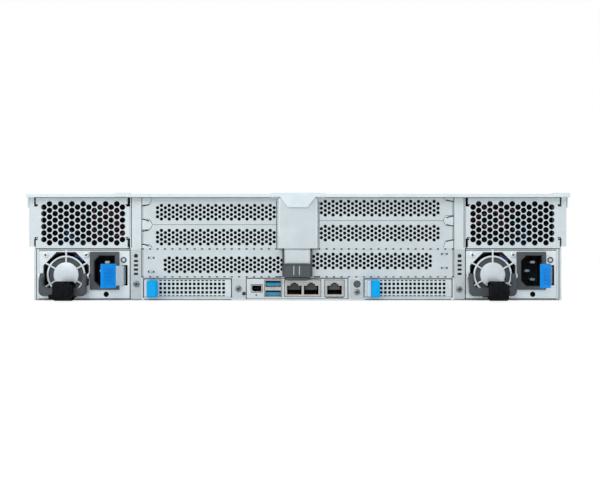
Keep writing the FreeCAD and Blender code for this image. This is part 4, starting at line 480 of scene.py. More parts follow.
# %% Vents over the power supplies
SIDES = {"left": -1, "right": 1}
SHEET = 1.0
VENT_ACROSS, VENT_UP, VENT_HOLE = 2 * 4.573, 5.28, 2.38
for name, side in SIDES.items():
    node = f"vent_panel_{name}"
    outer, y = rear_outline(node)
    panel = punched(node + "_punched", y, SHEET, "zinc_sheet", outer, (175.0 * side, 62.9),
                    VENT_ACROSS, 7, 7, VENT_UP, VENT_HOLE, other=(8, 6, VENT_UP), sides=14)
    low, high = span(node)
    with_block(panel, *sorted((138 * side, 212 * side)), y + SHEET, high.y, low.z, low.z + SHEET)
    belongs(panel, "chassis", "zinc_sheet", node)

# %% [markdown]
# The slot covers carry a band of smaller holes, 31 columns across, in turn four and three deep.
# The inner end of each is bent in.

# %% Slot covers
COVER_SHEET = 0.9
COVER_ACROSS, COVER_UP, COVER_HOLE = 2 * 3.17, 3.66, 1.42
COVERS = {"slot_cover_1": (-66.8, 51.64), "slot_cover_2": (-66.8, 71.96),
          "low_slot_cover_left": (-60.5, 29.1), "slot_cover_3": (66.8, 54.94),
          "slot_cover_4": (66.8, 75.26), "low_slot_cover_right": (60.5, 32.2)}
for node, middle in COVERS.items():
    outer, y = rear_outline(node)
    cover = punched(node + "_punched", y, COVER_SHEET, "plated_sheet", outer, middle,
                    COVER_ACROSS, 15, 4, COVER_UP, COVER_HOLE, other=(16, 3, COVER_UP))
    low, high = span(node)
    inner = low.x if middle[0] > 0 else high.x
    bend = sorted((inner, inner + math.copysign(COVER_SHEET, middle[0])))
    with_block(cover, *bend, y + COVER_SHEET, high.y, low.z, high.z)
    belongs(cover, "chassis", "plated_sheet", node)

# %% [markdown]
# The power supply is where the eye goes: a white wire guard over a dark fan, an inlet with its
# three pins, a blue spring latch and a hanging handle with a rolled strap. Round wire is drawn as
# a path with a round section, and a cast or moulded shape as a turned profile.


# %% Outlines
def arc(u, v, radius, start, stop, steps=6):
    """Points along an arc round (u, v), between two angles in degrees."""
    angles = [math.radians(start + (stop - start) * k / steps) for k in range(steps + 1)]
    return [(u + radius * math.cos(angle), v + radius * math.sin(angle)) for angle in angles]


def circle(u, v, radius, sides=20, turn=0.0):
    return arc(u, v, radius, turn, turn + 360, sides)[:-1]


def rectangle(left, right, bottom, top):
    return [(left, bottom), (right, bottom), (right, top), (left, top)]


def rounded(left, right, bottom, top, corner, steps=4):
    """A rectangle with rounded corners."""
    spots = ((right - corner, top - corner), (left + corner, top - corner),
             (left + corner, bottom + corner), (right - corner, bottom + corner))
    return [point for turn, (u, v) in enumerate(spots)
            for point in arc(u, v, corner, 90 * turn, 90 * turn + 90, steps)]


def polar(middle, radius, degrees, y):
    """The point at a radius and an angle round the Y axis through middle (x, z)."""
    turn = math.radians(degrees)
    return (middle[0] + radius * math.cos(turn), y, middle[1] + radius * math.sin(turn))


print(len(circle(0, 0, 1)), "sides to a circle,", len(rounded(0, 4, 0, 4, 1)), "to a soft square")

# %% [markdown]
# Rings of points, joined one to the next, make wires, turned shapes and prisms. A plate with
# openings is filled with triangles and then pushed out to its thickness.


# %% Shapes drawn from rings and outlines
def ring_of(net, points):
    return [net.verts.new(Vector(p) * MM) for p in points]


def skin(net, outlines, closed=False):
    """Joins rings of points into a tube, closed on itself or capped at both ends."""
    rings = [ring_of(net, points) for points in outlines]
    sides = len(rings[0])
    for one, other in zip(rings, rings[1:] + rings[:1] if closed else rings[1:]):
        for side in range(sides):
            after = (side + 1) % sides
            net.faces.new((one[side], one[after], other[after], other[side]))
    if not closed:
        net.faces.new(rings[0])
        net.faces.new(rings[-1])


def section(path, at, closed, shape):
    """The points of a section set square to a path at one of its points."""
    count = len(path)
    back = Vector(path[at - 1 if closed or at else at])
    ahead = Vector(path[(at + 1) % count if closed or at < count - 1 else at])
    along = (ahead - back).normalized()
    side = along.cross(Vector((0, 1, 0)))
    side = side.normalized() if side.length > 0.01 else Vector((1, 0, 0))
    up = side.cross(along)
    return [Vector(path[at]) + side * u + up * v for u, v in shape]


def sweep(net, path, shape, closed=False):
    """A bar of one section along a path of points in millimetres."""
    skin(net, [section(path, at, closed, shape) for at in range(len(path))], closed)


def turned(net, profile, middle, sides=40):
    """A profile of (radius, y) turned round the Y axis through middle (x, z)."""
    skin(net, [[(u, y, v) for u, v in circle(*middle, radius, sides)] for radius, y in profile])


def prism(net, outline, y0, y1):
    """An outline of (across, up) points made solid from y0 to y1."""
    skin(net, [[(u, y, v) for u, v in outline] for y in (y0, y1)])


def plate(net, y0, y1, *loops):
    """A flat plate from y0 to y1: the first loop is its outside, the others are openings."""
    rims = []
    for loop in loops:
        verts = ring_of(net, [(u, y0, v) for u, v in loop])
        rims += [net.edges.new((verts[at], verts[(at + 1) % len(verts)]))
                 for at in range(len(verts))]
    filled = bmesh.ops.triangle_fill(net, use_beauty=True, use_dissolve=False, edges=rims,
                                     normal=(0, -1, 0))["geom"]
    faces = [f for f in filled if isinstance(f, bmesh.types.BMFace)]
    raised = bmesh.ops.extrude_face_region(net, geom=faces, use_keep_orig=True)["geom"]
    for v in raised:
        if isinstance(v, bmesh.types.BMVert):
            v.co.y += (y1 - y0) * MM


def band(net, path, thick, start, stop, across=False, sway=0.0):
    """A strip of even thickness whose middle follows a path. It stands from z = start to stop on
    a path of (x, y), or lies across from x = start to stop on a path of (y, z)."""
    rings = []
    for at, here in enumerate(path):
        back, ahead = path[max(at - 1, 0)], path[min(at + 1, len(path) - 1)]
        along = (Vector(ahead) - Vector(back)).normalized()
        out = Vector((-along.y, along.x)) * (thick / 2)
        one, other = Vector(here) + out, Vector(here) - out
        shift = sway * math.sin(at * 1.7)
        corners = ((one, start), (other, start), (other, stop), (one, stop))
        rings.append([(w + shift, *p) if across else (*p, w) for p, w in corners])
    skin(net, rings)


print("shapes:", *(make.__name__ for make in (sweep, turned, prism, plate, band)))

# %% [markdown]
# A cross-head screw is a low dome with a cross pressed into it; the shade in that cross is painted
# as a thin dark inlay. All the screws of the rear face are one small mesh that a geometry tree
# sets on points. Each point carries its own size, so the large case screws and the small fan
# screws come out of the same tree.


# %% Small shapes set on points
def on_points_tree():
    """Sets one object on every point of a mesh, sized and turned by the point's own numbers."""
    t, given = socket_tree("set_on_points", shape="Object", material="Material")
    shape = t.add("GeometryNodeObjectInfo", {"Object": given["shape"]})
    size, turn = (t.add("GeometryNodeInputNamedAttribute", {"Name": name}, data_type="FLOAT")
                  for name in ("size", "turn"))
    copies = t.add("GeometryNodeInstanceOnPoints",
                   {"Points": given["Geometry"], "Instance": shape.outputs["Geometry"],
                    "Rotation": t.add("ShaderNodeCombineXYZ", {"Y": turn}), "Scale": size})
    return given_out(t, copies, given["material"])


ON_POINTS = on_points_tree()


def set_on_points(name, shape_mesh, look, spots):
    """Copies of a small mesh at spots of (x, y, z, size, turn in degrees), in millimetres."""
    shape = shown(name + "_shape", shape_mesh)
    points = bpy.data.meshes.new(name + "_points")
    points.from_pydata([Vector(spot[:3]) * MM for spot in spots], [], [])
    for label, column, unit in (("size", 3, 1.0), ("turn", 4, math.radians(1))):
        row = points.attributes.new(label, "FLOAT", "POINT")
        row.data.foreach_set("value", [spot[column] * unit for spot in spots])
    piece = grown(name, points, ON_POINTS, dict(shape=shape, material=FINISHES[look]))
    bpy.data.objects.remove(shape)
    return piece


def dome_mesh(name, *profile, sides):
    """A small turned shape that stands up along -Y, its foot at y = 0."""
    net = bmesh.new()
    turned(net, profile, (0, 0), sides)
    return plain_mesh(name, net)


def cross_shade_mesh(long=0.55, wide=0.13):
    """The cross pressed into a screw head: its shade painted as a thin dark inlay just proud of
    the dome.
    """
    net = bmesh.new()
    prism(net, [(wide, long), (-wide, long), (-wide, wide), (-long, wide), (-long, -wide),
                (-wide, -wide), (-wide, -long), (wide, -long), (wide, -wide), (long, -wide),
                (long, wide), (wide, wide)], -0.5, -0.4)
    return plain_mesh("screw_cross_shade", net)


def screws(name, body, spots, *nodes, slot="screw_steel"):
    """Screw heads at spots of (x, y, z, head radius, turn), each with the shade of its cross
    painted dark.
    """
    head = dome_mesh("screw_head", (1.0, 0.0), (1.0, -0.22), (0.9, -0.36), (0.62, -0.46),
                     (0.4, -0.48), sides=24)
    belongs(smoothed(set_on_points(name, head, slot, spots), 0.7), body, slot, *nodes)
    belongs(set_on_points(name + "_crosses", cross_shade_mesh(), "black_moulding", spots), body,
            "black_moulding")


PILLAR = 131.55
REAR = span("rear_frame")[0].y
screws("rear_screw_heads", "chassis",
       [(-PILLAR, REAR, 13.3, 2.6, 20), (PILLAR, REAR, 9.0, 2.6, 65), (-48.3, REAR, 9.5, 2.6, 40),
        (48.3, REAR, 6.8, 2.5, 10)], "rear_screws")

# %% [markdown]
# The guard over each fan is bright wire in front of a dark octagon: a disc, a ring and six
# spokes. Behind it turns a fan with a smooth hub and seven curved blades. A fan blade leans and
# twists, so it is built as a small grid of points and given a thickness.

# %% Power supply faces
INLET_PROUD = 1.4
SUPPLY_FACE = span("psu_left_inlet")[0].y + INLET_PROUD
FAN_SIDE, FAN_HEIGHT = 21.8, 20.9
SUPPLIES = {"left": -210.5, "right": 137.0}
SIX_WAYS = range(30, 390, 60)


def spokes(net, middle, angles, inner, outer, shape):
    """Bars of one section that run outward, between two spots of (radius, y)."""
    for angle in angles:
        sweep(net, [polar(middle, radius, angle, y) for radius, y in (inner, outer)], shape)


def supply_guard(name, middle, y):
    net = bmesh.new()
    sweep(net, [polar(middle, 15.0, 9 * k, y + 0.2) for k in range(40)], circle(0, 0, 0.8, 10),
          closed=True)
    spokes(net, middle, SIX_WAYS, (8.6, y + 0.2), (20.4, y + 0.3), circle(0, 0, 0.72, 10))
    turned(net, [(10.3, y + 1.0), (10.3, y + 0.1), (10.0, y - 0.35), (9.5, y - 0.5),
                 (0.3, y - 0.6)], middle, 48)
    place(f"psu_{name}_guard", net, "supply_case", f"psu_{name}")


def blade_skin(net, start, skin_turn, middle, y, depth, hub, tip, steps, spans):
    """One side of a fan blade, as a grid of points from its root to its tip."""
    grid = []
    for step in range(steps + 1):
        share = step / steps
        radius = hub - 0.4 + (tip - hub + 0.4) * share
        reach = (44 + 10 * share) / (0.55 + 0.45 * radius / hub)
        row = []
        for along in (k / spans for k in range(spans + 1)):
            turn = start + 12 * share + reach * (along - 0.5) + skin_turn * 60 / radius
            bend = math.sin(math.pi * along) * 0.05 * depth
            row.append(polar(middle, radius, turn, y + depth * (0.12 + 0.76 * along) + bend))
        grid.append(ring_of(net, row))
    return grid


def fan_wheel(name, middle, low, high, hub, tip, slot, body, blades=7, steps=5, spans=7):
    """Hub with a rounded front, and blades that lean and widen towards the tip. It takes the
    place of the CAD node with its body's name."""
    net = bmesh.new()
    y, depth = low.y, high.y - low.y
    turned(net, [(hub - 1.2, y + depth * 0.08), (hub, y + depth * 0.16), (hub, y + depth * 0.95),
                 (hub - 1.0, y + depth)], middle, 36)
    rim = ([(a, 0) for a in range(steps + 1)] + [(steps, b) for b in range(1, spans + 1)]
           + [(a, spans) for a in range(steps - 1, -1, -1)])
    for blade in range(blades):
        one, other = (blade_skin(net, 360 / blades * blade, side, middle, y, depth, hub, tip,
                                 steps, spans) for side in (-0.45, 0.45))
        for grid in (one, other):
            for a in range(steps):
                for b in range(spans):
                    net.faces.new((grid[a][b], grid[a][b + 1], grid[a + 1][b + 1],
                                   grid[a + 1][b]))
        for (a, b), (c, d) in zip(rim, rim[1:]):
            net.faces.new((one[a][b], one[c][d], other[c][d], other[a][b]))
    place(name, net, slot, body, body, smooth=0.9)


for name, x in SUPPLIES.items():
    centre = (x + FAN_SIDE, FAN_HEIGHT)
    supply_guard(name, centre, SUPPLY_FACE)
    rotor = f"psu_{name}_rotor"
    fan_wheel(f"psu_{name}_fan_wheel", centre, *span(rotor), 9.6, 17.4, "black_moulding", rotor)
    screws(f"psu_{name}_fan_screws", f"psu_{name}",
           [(centre[0] + side * 16.6, SUPPLY_FACE, FAN_HEIGHT + 16.2, 2.5, 30 + 25 * side)
            for side in (-1, 1)], slot="supply_case")

# %% [markdown]
# The case of a supply is a folded box with a face plate. The plate is one outline with its
# openings: the fan's octagon, the inlet, the latch's slot and the cable tie's hole. Two ears on
# the face hold the pins of the handle.

# %% Supply cases
SUPPLY_WIDE, SUPPLY_LOW, SUPPLY_TOP, SUPPLY_LONG = 73.5, 1.7, 40.7, 185.0
INLET = (41.2, 65.2, 8.7, 39.7)
LATCH_SLOT = (66.9, 71.9, 12.3, 28.9)
TIE_HOLE = (54.4, 5.1)
PIN_Y, PIN_Z = SUPPLY_FACE - 2.8, 20.2


def lengthwise(net, *stations, sides, closed=False):
    """A round shape on the handle pin's axis: a radius at each of its x stations."""
    skin(net, [[(x, a, b) for a, b in circle(PIN_Y, PIN_Z, radius, sides)]
               for x, radius in stations], closed)


def supply_case(name, x):
    y, body, right = SUPPLY_FACE, f"psu_{name}", x + SUPPLY_WIDE
    centre = (x + FAN_SIDE, FAN_HEIGHT)
    tie = (x + TIE_HOLE[0], TIE_HOLE[1])
    net = bmesh.new()
    plate(net, y, y + 1.0, rounded(x, right, SUPPLY_LOW, SUPPLY_TOP, 0.8),
          circle(*centre, 18.6 / math.cos(math.radians(22.5)), 8, 22.5),
          rectangle(x + INLET[0], x + INLET[1], *INLET[2:]),
          rectangle(x + LATCH_SLOT[0], x + LATCH_SLOT[1], *LATCH_SLOT[2:]), circle(*tie, 2.2))
    wall = 1.0
    for u0, u1, v0, v1 in ((x, x + wall, SUPPLY_LOW, SUPPLY_TOP),
                           (right - wall, right, SUPPLY_LOW, SUPPLY_TOP),
                           (x + wall, right - wall, SUPPLY_LOW, SUPPLY_LOW + wall),
                           (x + wall, right - wall, SUPPLY_TOP - wall, SUPPLY_TOP)):
        soft_block(net, u0, u1, y + 1.0, y + SUPPLY_LONG, v0, v1, 0.15, 1)
    soft_block(net, x, right, y + SUPPLY_LONG - wall, y + SUPPLY_LONG, SUPPLY_LOW, SUPPLY_TOP, 0.2)
    low, high = span(body + "_handle")
    for u in (low.x, high.x - 1.0):
        lengthwise(net, (u, 2.1), (u + 1.0, 2.1), (u + 1.0, 1.35), (u, 1.35), sides=20,
                   closed=True)
        soft_block(net, u, u + 1.0, y - 1.4, y + 0.3, PIN_Z - 2.4, PIN_Z + 2.4, 0.15, 1)
    place(body + "_box", net, "supply_case", body, body + "_case", smooth=0.5)
    dark = bmesh.new()
    inside = (SUPPLY_LOW + 1.1, SUPPLY_TOP - 1.1)
    plate(dark, y + 1.4, y + 26, rectangle(x + 1.2, x + 41.0, *inside), circle(*centre, 18.1, 48))
    plate(dark, y + 27, y + 28, rectangle(x + 1.2, right - 1.2, *inside))
    for u in (x + 66.0, right - 1.5):
        soft_block(dark, u, u + 0.4, y + 1.0, y + 10, *LATCH_SLOT[2:], 0.1, 1)
    plate(dark, y + 5.0, y + 5.6, circle(*tie, 2.4))
    spokes(dark, centre, range(45, 405, 90), (8.0, y + 21.5), (18.6, y + 21.5),
           rounded(-1.5, 1.5, -0.8, 0.8, 0.4, 3))
    turned(dark, [(9.4, y + 20.2), (9.4, y + 26)], centre, 32)
    place(body + "_fan_housing", dark, "black_moulding", body, smooth=0.5)
    collar = bmesh.new()
    plate(collar, y + 1.6, y + 2.6, circle(*centre, 14.1, 48), circle(*centre, 9.7, 48))
    spokes(collar, centre, SIX_WAYS, (13.6, y + 2.1), (19.0, y + 2.1),
           rounded(-0.45, 0.45, -0.7, 0.7, 0.2, 3))
    place(body + "_guard_collar", collar, "dark_moulding", body, smooth=0.5)


for name, x in SUPPLIES.items():
    supply_case(name, x)

# %% [markdown]
# The mains inlet is a dark moulding with a socket whose two left corners are cut, and three
# plated blades. The line and neutral blades stand right of the middle and the earth blade left.

# %% Mains inlets
SOCKET_WIDE, SOCKET_HIGH, SOCKET_CUT = 16.8, 24.8, 4.2


def supply_inlet(name, x):
    y, body = SUPPLY_FACE, f"psu_{name}"
    u, v = x + (INLET[0] + INLET[1]) / 2, (INLET[2] + INLET[3]) / 2
    side, rise, cut = SOCKET_WIDE / 2, SOCKET_HIGH / 2, SOCKET_CUT

    def socket(wider=1.0, higher=1.0):
        corners = ((-side, cut - rise), (cut - side, -rise), (side, -rise), (side, rise),
                   (cut - side, rise), (-side, rise - cut))
        return [(u + a * wider, v + b * higher) for a, b in corners]

    net = bmesh.new()
    outside = rounded(x + INLET[0] + 0.1, x + INLET[1] - 0.1, INLET[2] + 0.1, INLET[3] - 0.1, 1.6)
    plate(net, y - INLET_PROUD, y - 0.7, outside, socket(1.07, 1.05))
    plate(net, y - 0.7, y + 14.6, outside, socket())
    place(body + "_inlet_frame", net, "dark_moulding", body, body + "_inlet", smooth=0.5)
    deep = bmesh.new()
    plate(deep, y + 14.6, y + 16, socket(1.07, 1.05))
    plate(deep, y + 0.2, y + 14.6, socket(), socket(0.965, 0.975))
    place(body + "_inlet_lining", deep, "black_moulding", body, smooth=0.5)
    pins = bmesh.new()
    for a, b in ((1.7, -7), (1.7, 7), (-2.6, 0)):
        soft_block(pins, u + a - 2, u + a + 2, y + 2.6, y + 14.8, v + b - 1, v + b + 1, 0.45)
    place(body + "_inlet_pins", pins, "port_shell", body, smooth=0.5)


for name, x in SUPPLIES.items():
    supply_inlet(name, x)

# %% [markdown]
# The handle is a moulded loop on two pins. Seen from behind it is a U with round corners, and
# from the side each leg leans in to its pin.

# %% Handles
HANDLE_PIN = 1.3


def supply_handle(name):
    body = f"psu_{name}_handle"
    low, high = span(body)
    x0, x1, bottom, front = low.x + HANDLE_PIN, high.x - HANDLE_PIN, low.z, low.y
    leg, bar, thick, shoulder = 3.3, 6.7, 4.2, 17.0
    net = bmesh.new()
    prism(net, [(x0, shoulder), *arc(x0 + 4, bottom + 4, 4, 180, 270),
                *arc(x1 - 4, bottom + 4, 4, 270, 360), (x1, shoulder), (x1 - leg, shoulder),
                *arc(x1 - leg - 2.4, bottom + bar + 2.4, 2.4, 360, 270),
                *arc(x0 + leg + 2.4, bottom + bar + 2.4, 2.4, 270, 180), (x0 + leg, shoulder)],
          front, front + thick)
    bevelled(net, [e for e in net.edges if abs(e.verts[0].co.y - e.verts[1].co.y) < 0.01 * MM],
             0.6)
    side = [(front + 0.3, 10.0), (front + 0.3, 17.2), (PIN_Y - 1.7, 21.6), (PIN_Y - 1.0, 22.2),
            (PIN_Y + 0.9, 22.2), (PIN_Y + 2.0, 21.0), (PIN_Y + 2.0, 18.4), (front + thick, 9.0)]
    for start in (x0, x1 - leg):
        before = set(net.verts)
        skin(net, [[(u, a, b) for a, b in side] for u in (start + 0.05, start + leg - 0.05)])
        bevelled(net, {e for v in net.verts if v not in before for e in v.link_edges}, 0.5)
    for start in (x0 - HANDLE_PIN, x1 - 0.5):
        lengthwise(net, (start, 1.15), (start + HANDLE_PIN + 0.5, 1.15), sides=16)
    place(body + "_loop", net, "dark_moulding", body, body, smooth=0.8)


for name in SUPPLIES:
    supply_handle(name)

# %% [markdown]
# Each supply carries a hook-and-loop strap rolled round its handle: a lumpy roll with three bands
# round it and a loose tail. A section that is a circle raised to a power gives its flat sides.

# %% Straps
ROLL_SQUARE = 0.8


def flat_round(y, z, long, tall, angle):
    """A point of a ring that is rounder than a rectangle and flatter than an ellipse."""
    c, s = math.cos(angle), math.sin(angle)
    return (y + long * math.copysign(abs(c) ** ROLL_SQUARE, c),
            z + tall * math.copysign(abs(s) ** ROLL_SQUARE, s))


def supply_strap(name):
    low, high = span(f"psu_{name}_strap")
    y, z = (low.y + high.y) / 2, (low.z + high.z) / 2
    long, tall = (high.y - low.y) / 2 - 0.3, (high.z - low.z) / 2 - 0.3
    net = bmesh.new()
    rings = []
    for share in (station / 15 for station in range(16)):
        waist = ((1 - 0.3 * abs(2 * share - 1) ** 4)
                 * (1 - 0.07 * abs(math.sin(math.pi * share * 3.5))))
        ring = []
        for angle in (math.tau * step / 40 for step in range(40)):
            size = waist * (1 - 0.03 * (1 + math.sin(3 * angle + 5 * share)))
            ring.append((low.x + 3.4 + (high.x - low.x - 3.8) * share,
                         *flat_round(y, z, long * size, tall * size, angle)))
        rings.append(ring)
    skin(net, rings)
    for start, turn in ((3.6, 0.3), (8.0, 1.5), (12.3, 2.4)):
        path = [flat_round(y, z, (long + 0.1) * 0.97, (tall + 0.1) * 0.97,
                           math.tau * step / 36 + turn) for step in range(33)]
        band(net, path, 0.9, low.x + start, low.x + start + 4.2, across=True, sway=0.35)
    flap = [(low.y + 0.8 + 0.35 * k, z - tall * 0.35 - 0.42 * k) for k in range(9)]
    band(net, flap, 1.1, low.x + 0.5, low.x + 7.6, across=True, sway=0.35)
    body = f"psu_{name}_handle"
    place(body + "_strap_roll", net, "strap_weave", body, f"psu_{name}_strap", smooth=1.0)


for name in SUPPLIES:
    supply_strap(name)

# %% [markdown]
# The latch is a strip of spring steel that comes out of its slot, goes on as a clear strip and
# ends in a blue pad. Above its slot sits a small lamp, and two wires pass behind the guard.

# %% Latches, lamps and wires
def supply_latch(name):
    body, y = f"psu_{name}_latch", SUPPLY_FACE
    low, high = span(body)
    root = high.x - 1.4
    near, far = (low.x + 1.0, low.y + 1.4), (low.x + 10.4, low.y + 11.8)
    steel = bmesh.new()
    band(steel, [(root, high.y - 0.4), (root, y + 3), (root - 0.1, y - 1.0)], 0.7, low.z + 2.2,
         high.z - 2.2)
    for u in (root - 1.0, root + 0.3):
        soft_block(steel, u, u + 1.0, y - 0.5, y + 0.6, low.z + 2.6, high.z - 2.6, 0.3)
    place(body + "_spring", steel, "screw_steel", body, smooth=0.5)
    clear = bmesh.new()
    band(clear, [(root - 0.1, y - 1.0), (root - 1.2, y - 6.0), far], 0.9, low.z + 1.9,
         high.z - 1.9)
    place(body + "_strip", clear, "clear_strip", body, smooth=0.5)
    pad = bmesh.new()
    band(pad, [near, far], 2.4, low.z + 0.1, high.z - 0.1)
    for ridge in range(-2, 3):
        height = (low.z + high.z) / 2 + ridge * 2.8
        band(pad, [(near[0] + 2.2, near[1] + 0.6), (far[0] - 1.0, far[1] - 3.0)], 1.6,
             height - 0.5, height + 0.5)
    bevelled(pad, pad.edges, 0.4, 3)
    place(body + "_pad", pad, "blue_moulding", body, body, smooth=0.7)


LENS = [(1.3, 0), (1.3, -0.3), (0.9, -0.5), (0.2, -0.55)]
LAMP_RING = [(2.5, 0.2), (2.5, -0.35), (1.7, -0.4), (1.5, -0.1), (0.2, -0.1)]
for name, x in SUPPLIES.items():
    supply_latch(name)
    for part, profile, look, sides in (("lens", LENS, "clear_strip", 24),
                                       ("lamp", LAMP_RING, "button_plastic", 28)):
        net = bmesh.new()
        turned(net, [(radius, SUPPLY_FACE + out) for radius, out in profile], (x + 68.7, 33.0),
               sides)
        place(f"psu_{name}_{part}", net, look, f"psu_{name}", smooth=0.5)
    for look, drop in (("wire_red", 0), ("wire_blue", 1.5)):
        wire = bmesh.new()
        sweep(wire, [(x + FAN_SIDE + 6.5 + 6.5 * k / 8, SUPPLY_FACE + 3.2 + 0.5 * drop,
                      FAN_HEIGHT + 17.0 - drop - 4.2 * (k / 8) ** 2) for k in range(9)],
              circle(0, 0, 0.65, 10))
        place(f"psu_{name}_rotor_{look}", wire, look, f"psu_{name}")

# %% [markdown]
# The two network cards below the slots end in a face with square holes and a blue pull tab that
# is turned out of a clear strip. From here on, a piece made only of blocks is a list of them.

# %% Network cards
FACE = -400.0
CARD_SHEET = 0.8


def of_blocks(name, look, body, blocks, *nodes, **more):
    """A piece made of soft blocks: each is six sides, a corner and how many rounds it has."""
    net = bmesh.new()
    for sides in blocks:
        soft_block(net, *sides)
    place(name, net, look, body, *nodes, **more)


for node in ("network_card_left", "network_card_right"):
    low, high = span(node)
    left, right, bottom, top = low.x, high.x, low.z, high.z
    first, last = left + 13.6, right - 6.1
    face = punched(node + "_face", FACE, CARD_SHEET, "zinc_sheet",
                   rounded(left, right, bottom, top, 0.6),
                   ((first + last) / 2, (bottom + top) / 2), (last - first) / 15, 16, 3, 3.43,
                   1.58, other=(16, 2, 12.3), sides=4, turn=45, squash=0.4, corner=0.3)
    belongs(face, node, "zinc_sheet", node)
    sink = (FACE + 66, high.y - 8)
    of_blocks(node + "_board", "board_green", node,
              [(left + 0.6, right - 0.6, FACE + CARD_SHEET, high.y, bottom + 0.6, bottom + 2.0,
                0.2, 1)])
    of_blocks(node + "_baffle", "black_moulding", node,
              [(first - 3, right - 1.4, FACE + 3.5, FACE + 60, bottom + 2.0, top - 0.6, 0.5, 1)])
    of_blocks(node + "_fins", "heatsink_metal", node,
              [(u, u + 0.9, *sink, bottom + 2.0, top - 1.2, 0.15, 1)
               for u in (left + 8 + 3.1 * fin for fin in range(18))]
              + [(left + 7, left + 63, *sink, bottom + 1.9, bottom + 3.4, 0.2, 1)])
    of_blocks(node + "_tab", "tab_blue", node,
              [(left + 4.6, left + 11.6, low.y + 0.05, FACE - 0.3, bottom + 0.1, top - 0.4,
                0.7, 3)])
    of_blocks(node + "_strip", "clear_strip", node,
              [(left + 2.0, left + 4.4, low.y + 1.0, FACE - 0.1, bottom + 0.6, top - 0.8, 0.3, 1),
               (left + 0.4, left + 11.4, FACE - 1.0, FACE - 0.1, bottom + 0.6, top - 0.8,
                0.2, 1)])

# %% [markdown]
# A lever under the bridge drives both riser cages down. Its tongue is plated steel, and the grip
# is a dark moulding that clasps the tongue from both sides. The two grooves in the grip tell a
# thumb where to pull.

# %% Slot lever
out = span("slot_lever")[0].y
NECK = (FACE - 3.4, FACE - 0.9, 40.0, 44.8)
TONGUE = (-10.8, 10.1)
grip = [(-12.6, 11.9, out + 0.1, out + 6.0, 17.4, 30.2, 1.9, 4),
        (-9.0, 8.4, out, out + 1.5, 16.5, 18.8, 0.7, 3)]
for arm in ((-12.6, -10.9), (10.2, 11.9)):
    grip += [(*arm, FACE - 5.2, FACE - 1.0, 28.0, 41.1, 0.5), (*arm, *NECK, 0.5)]
of_blocks("slot_lever_grip", "dark_moulding", "slot_lever", grip, "slot_lever")
of_blocks("slot_lever_tongue", "plated_sheet", "slot_lever",
          [(*TONGUE, FACE - 4.9, FACE - 0.7, 29.0, 41.3, 0.4), (*TONGUE, *NECK, 0.4),
           (-10.0, 9.3, FACE - 5.25, FACE - 4.0, 30.0, 41.1, 0.4)])
of_blocks("slot_lever_grooves", "pillar_sheet", "slot_lever",
          [(u - 0.55, u + 0.55, out, out + 0.6, 20.7, 28.5, 0.25) for u in (-3.2, 1.3)],
          slot="button_plastic")

# %% [markdown]
# Between the cards sits the plate with the sockets: a display socket, two stacked bus sockets
# with blue tongues, a pair of network jacks and a management jack. A jack is a shell round a
# stepped hole, with a dark lining, eight gold contacts and a latch ledge on top.

# %% Sockets
SOCKET_DEEP = 15.0


def grown_loop(loop, by):
    """The same outline with every side moved out by a distance."""
    middle = Vector((sum(u for u, _ in loop), sum(v for _, v in loop))) / len(loop)
    return [tuple(here + math.copysign(by, here - centre) if abs(here - centre) > 0.01 else here
                  for here, centre in zip(point, middle)) for point in loop]


def jack(name, sides, node, *openings):
    """A socket's shell just proud of the rear face and its dark lining behind."""
    front, rim = FACE - 0.4, rounded(*sides, 0.4)
    net = bmesh.new()
    plate(net, front, front + 0.5, rim, *openings)
    plate(net, front + 0.5, front + 2.2, rim, *(grown_loop(loop, 0.12) for loop in openings))
    place(name + "_shell", net, "port_shell", "chassis", node, smooth=0.5)
    dark = bmesh.new()
    for loop in openings:
        wide = grown_loop(loop, 0.5)
        plate(dark, front + 2.2, front + SOCKET_DEEP, wide, grown_loop(loop, -0.02))
        plate(dark, front + SOCKET_DEEP, front + SOCKET_DEEP + 0.6, wide)
    place(name + "_lining", dark, "black_moulding", "chassis", smooth=0.5)


def network_hole(u, v=4.9):
    """The stepped hole of a network jack: 11.9 wide, with a latch notch on top."""
    half = ((5.95, 0), (5.95, 7.2), (3.1, 7.2), (3.1, 8.7), (1.7, 8.7), (1.7, 9.7))
    return [(u + a, v + b) for a, b in half] + [(u - a, v + b) for a, b in reversed(half)]


NETWORK = (-2.8, 10.9, 29.9)
CONTACT_STEP = 1.02
jack("lan", (-10.7, 18.7, 3.25, 16.6), "lan_ports", *map(network_hole, NETWORK[:2]))
jack("management", (22.0, 37.8, 3.25, 16.6), "management_port", network_hole(NETWORK[2]))
contacts, ledges = bmesh.new(), []
for u in NETWORK:
    for pin in range(8):
        at = u + (pin - 3.5) * CONTACT_STEP
        sweep(contacts, [(at, FACE + 3, 5.3), (at, FACE + 7, 6.2), (at, FACE + 11, 8.4)],
              circle(0, 0, 0.2, 6))
    ledges += [(u - 2.7, u + 2.7, FACE + 1.6, FACE + 12, 11.4, 14.2, 0.5),
               (u - 4.9, u + 4.9, FACE + 2, FACE + 12, 8.6, 11.8, 0.5)]
place("jack_contacts", contacts, "gold_contact", "chassis")
of_blocks("jack_ledges", "dark_moulding", "chassis", ledges)
jack("bus", (-27.0, -13.2, 3.25, 16.6), "usb_ports", rectangle(-26.4, -13.8, 11.0, 16.0),
     rectangle(-26.4, -13.8, 3.6, 8.2))
TONGUES = (9.9, 2.3)
of_blocks("bus_tongues", "bus_blue", "chassis",
          [(-26.0, -14.2, FACE + 0.2, FACE + 14, v + 1.7, v + 4.6, 0.3) for v in TONGUES])
of_blocks("bus_contacts", "gold_contact", "chassis",
          [(u, u + 1.1, FACE + 0.4, FACE + 10, v + 1.3, v + 1.75, 0.12, 1)
           for v in TONGUES for u in (-23.6 + 2.3 * pad for pad in range(4))])
jack("display", (-38.0, -29.05, 6.9, 12.75), "display_port",
     [(-37.3, 8.7), (-36.1, 7.5), (-29.7, 7.5), (-29.7, 12.2), (-37.3, 12.2)])
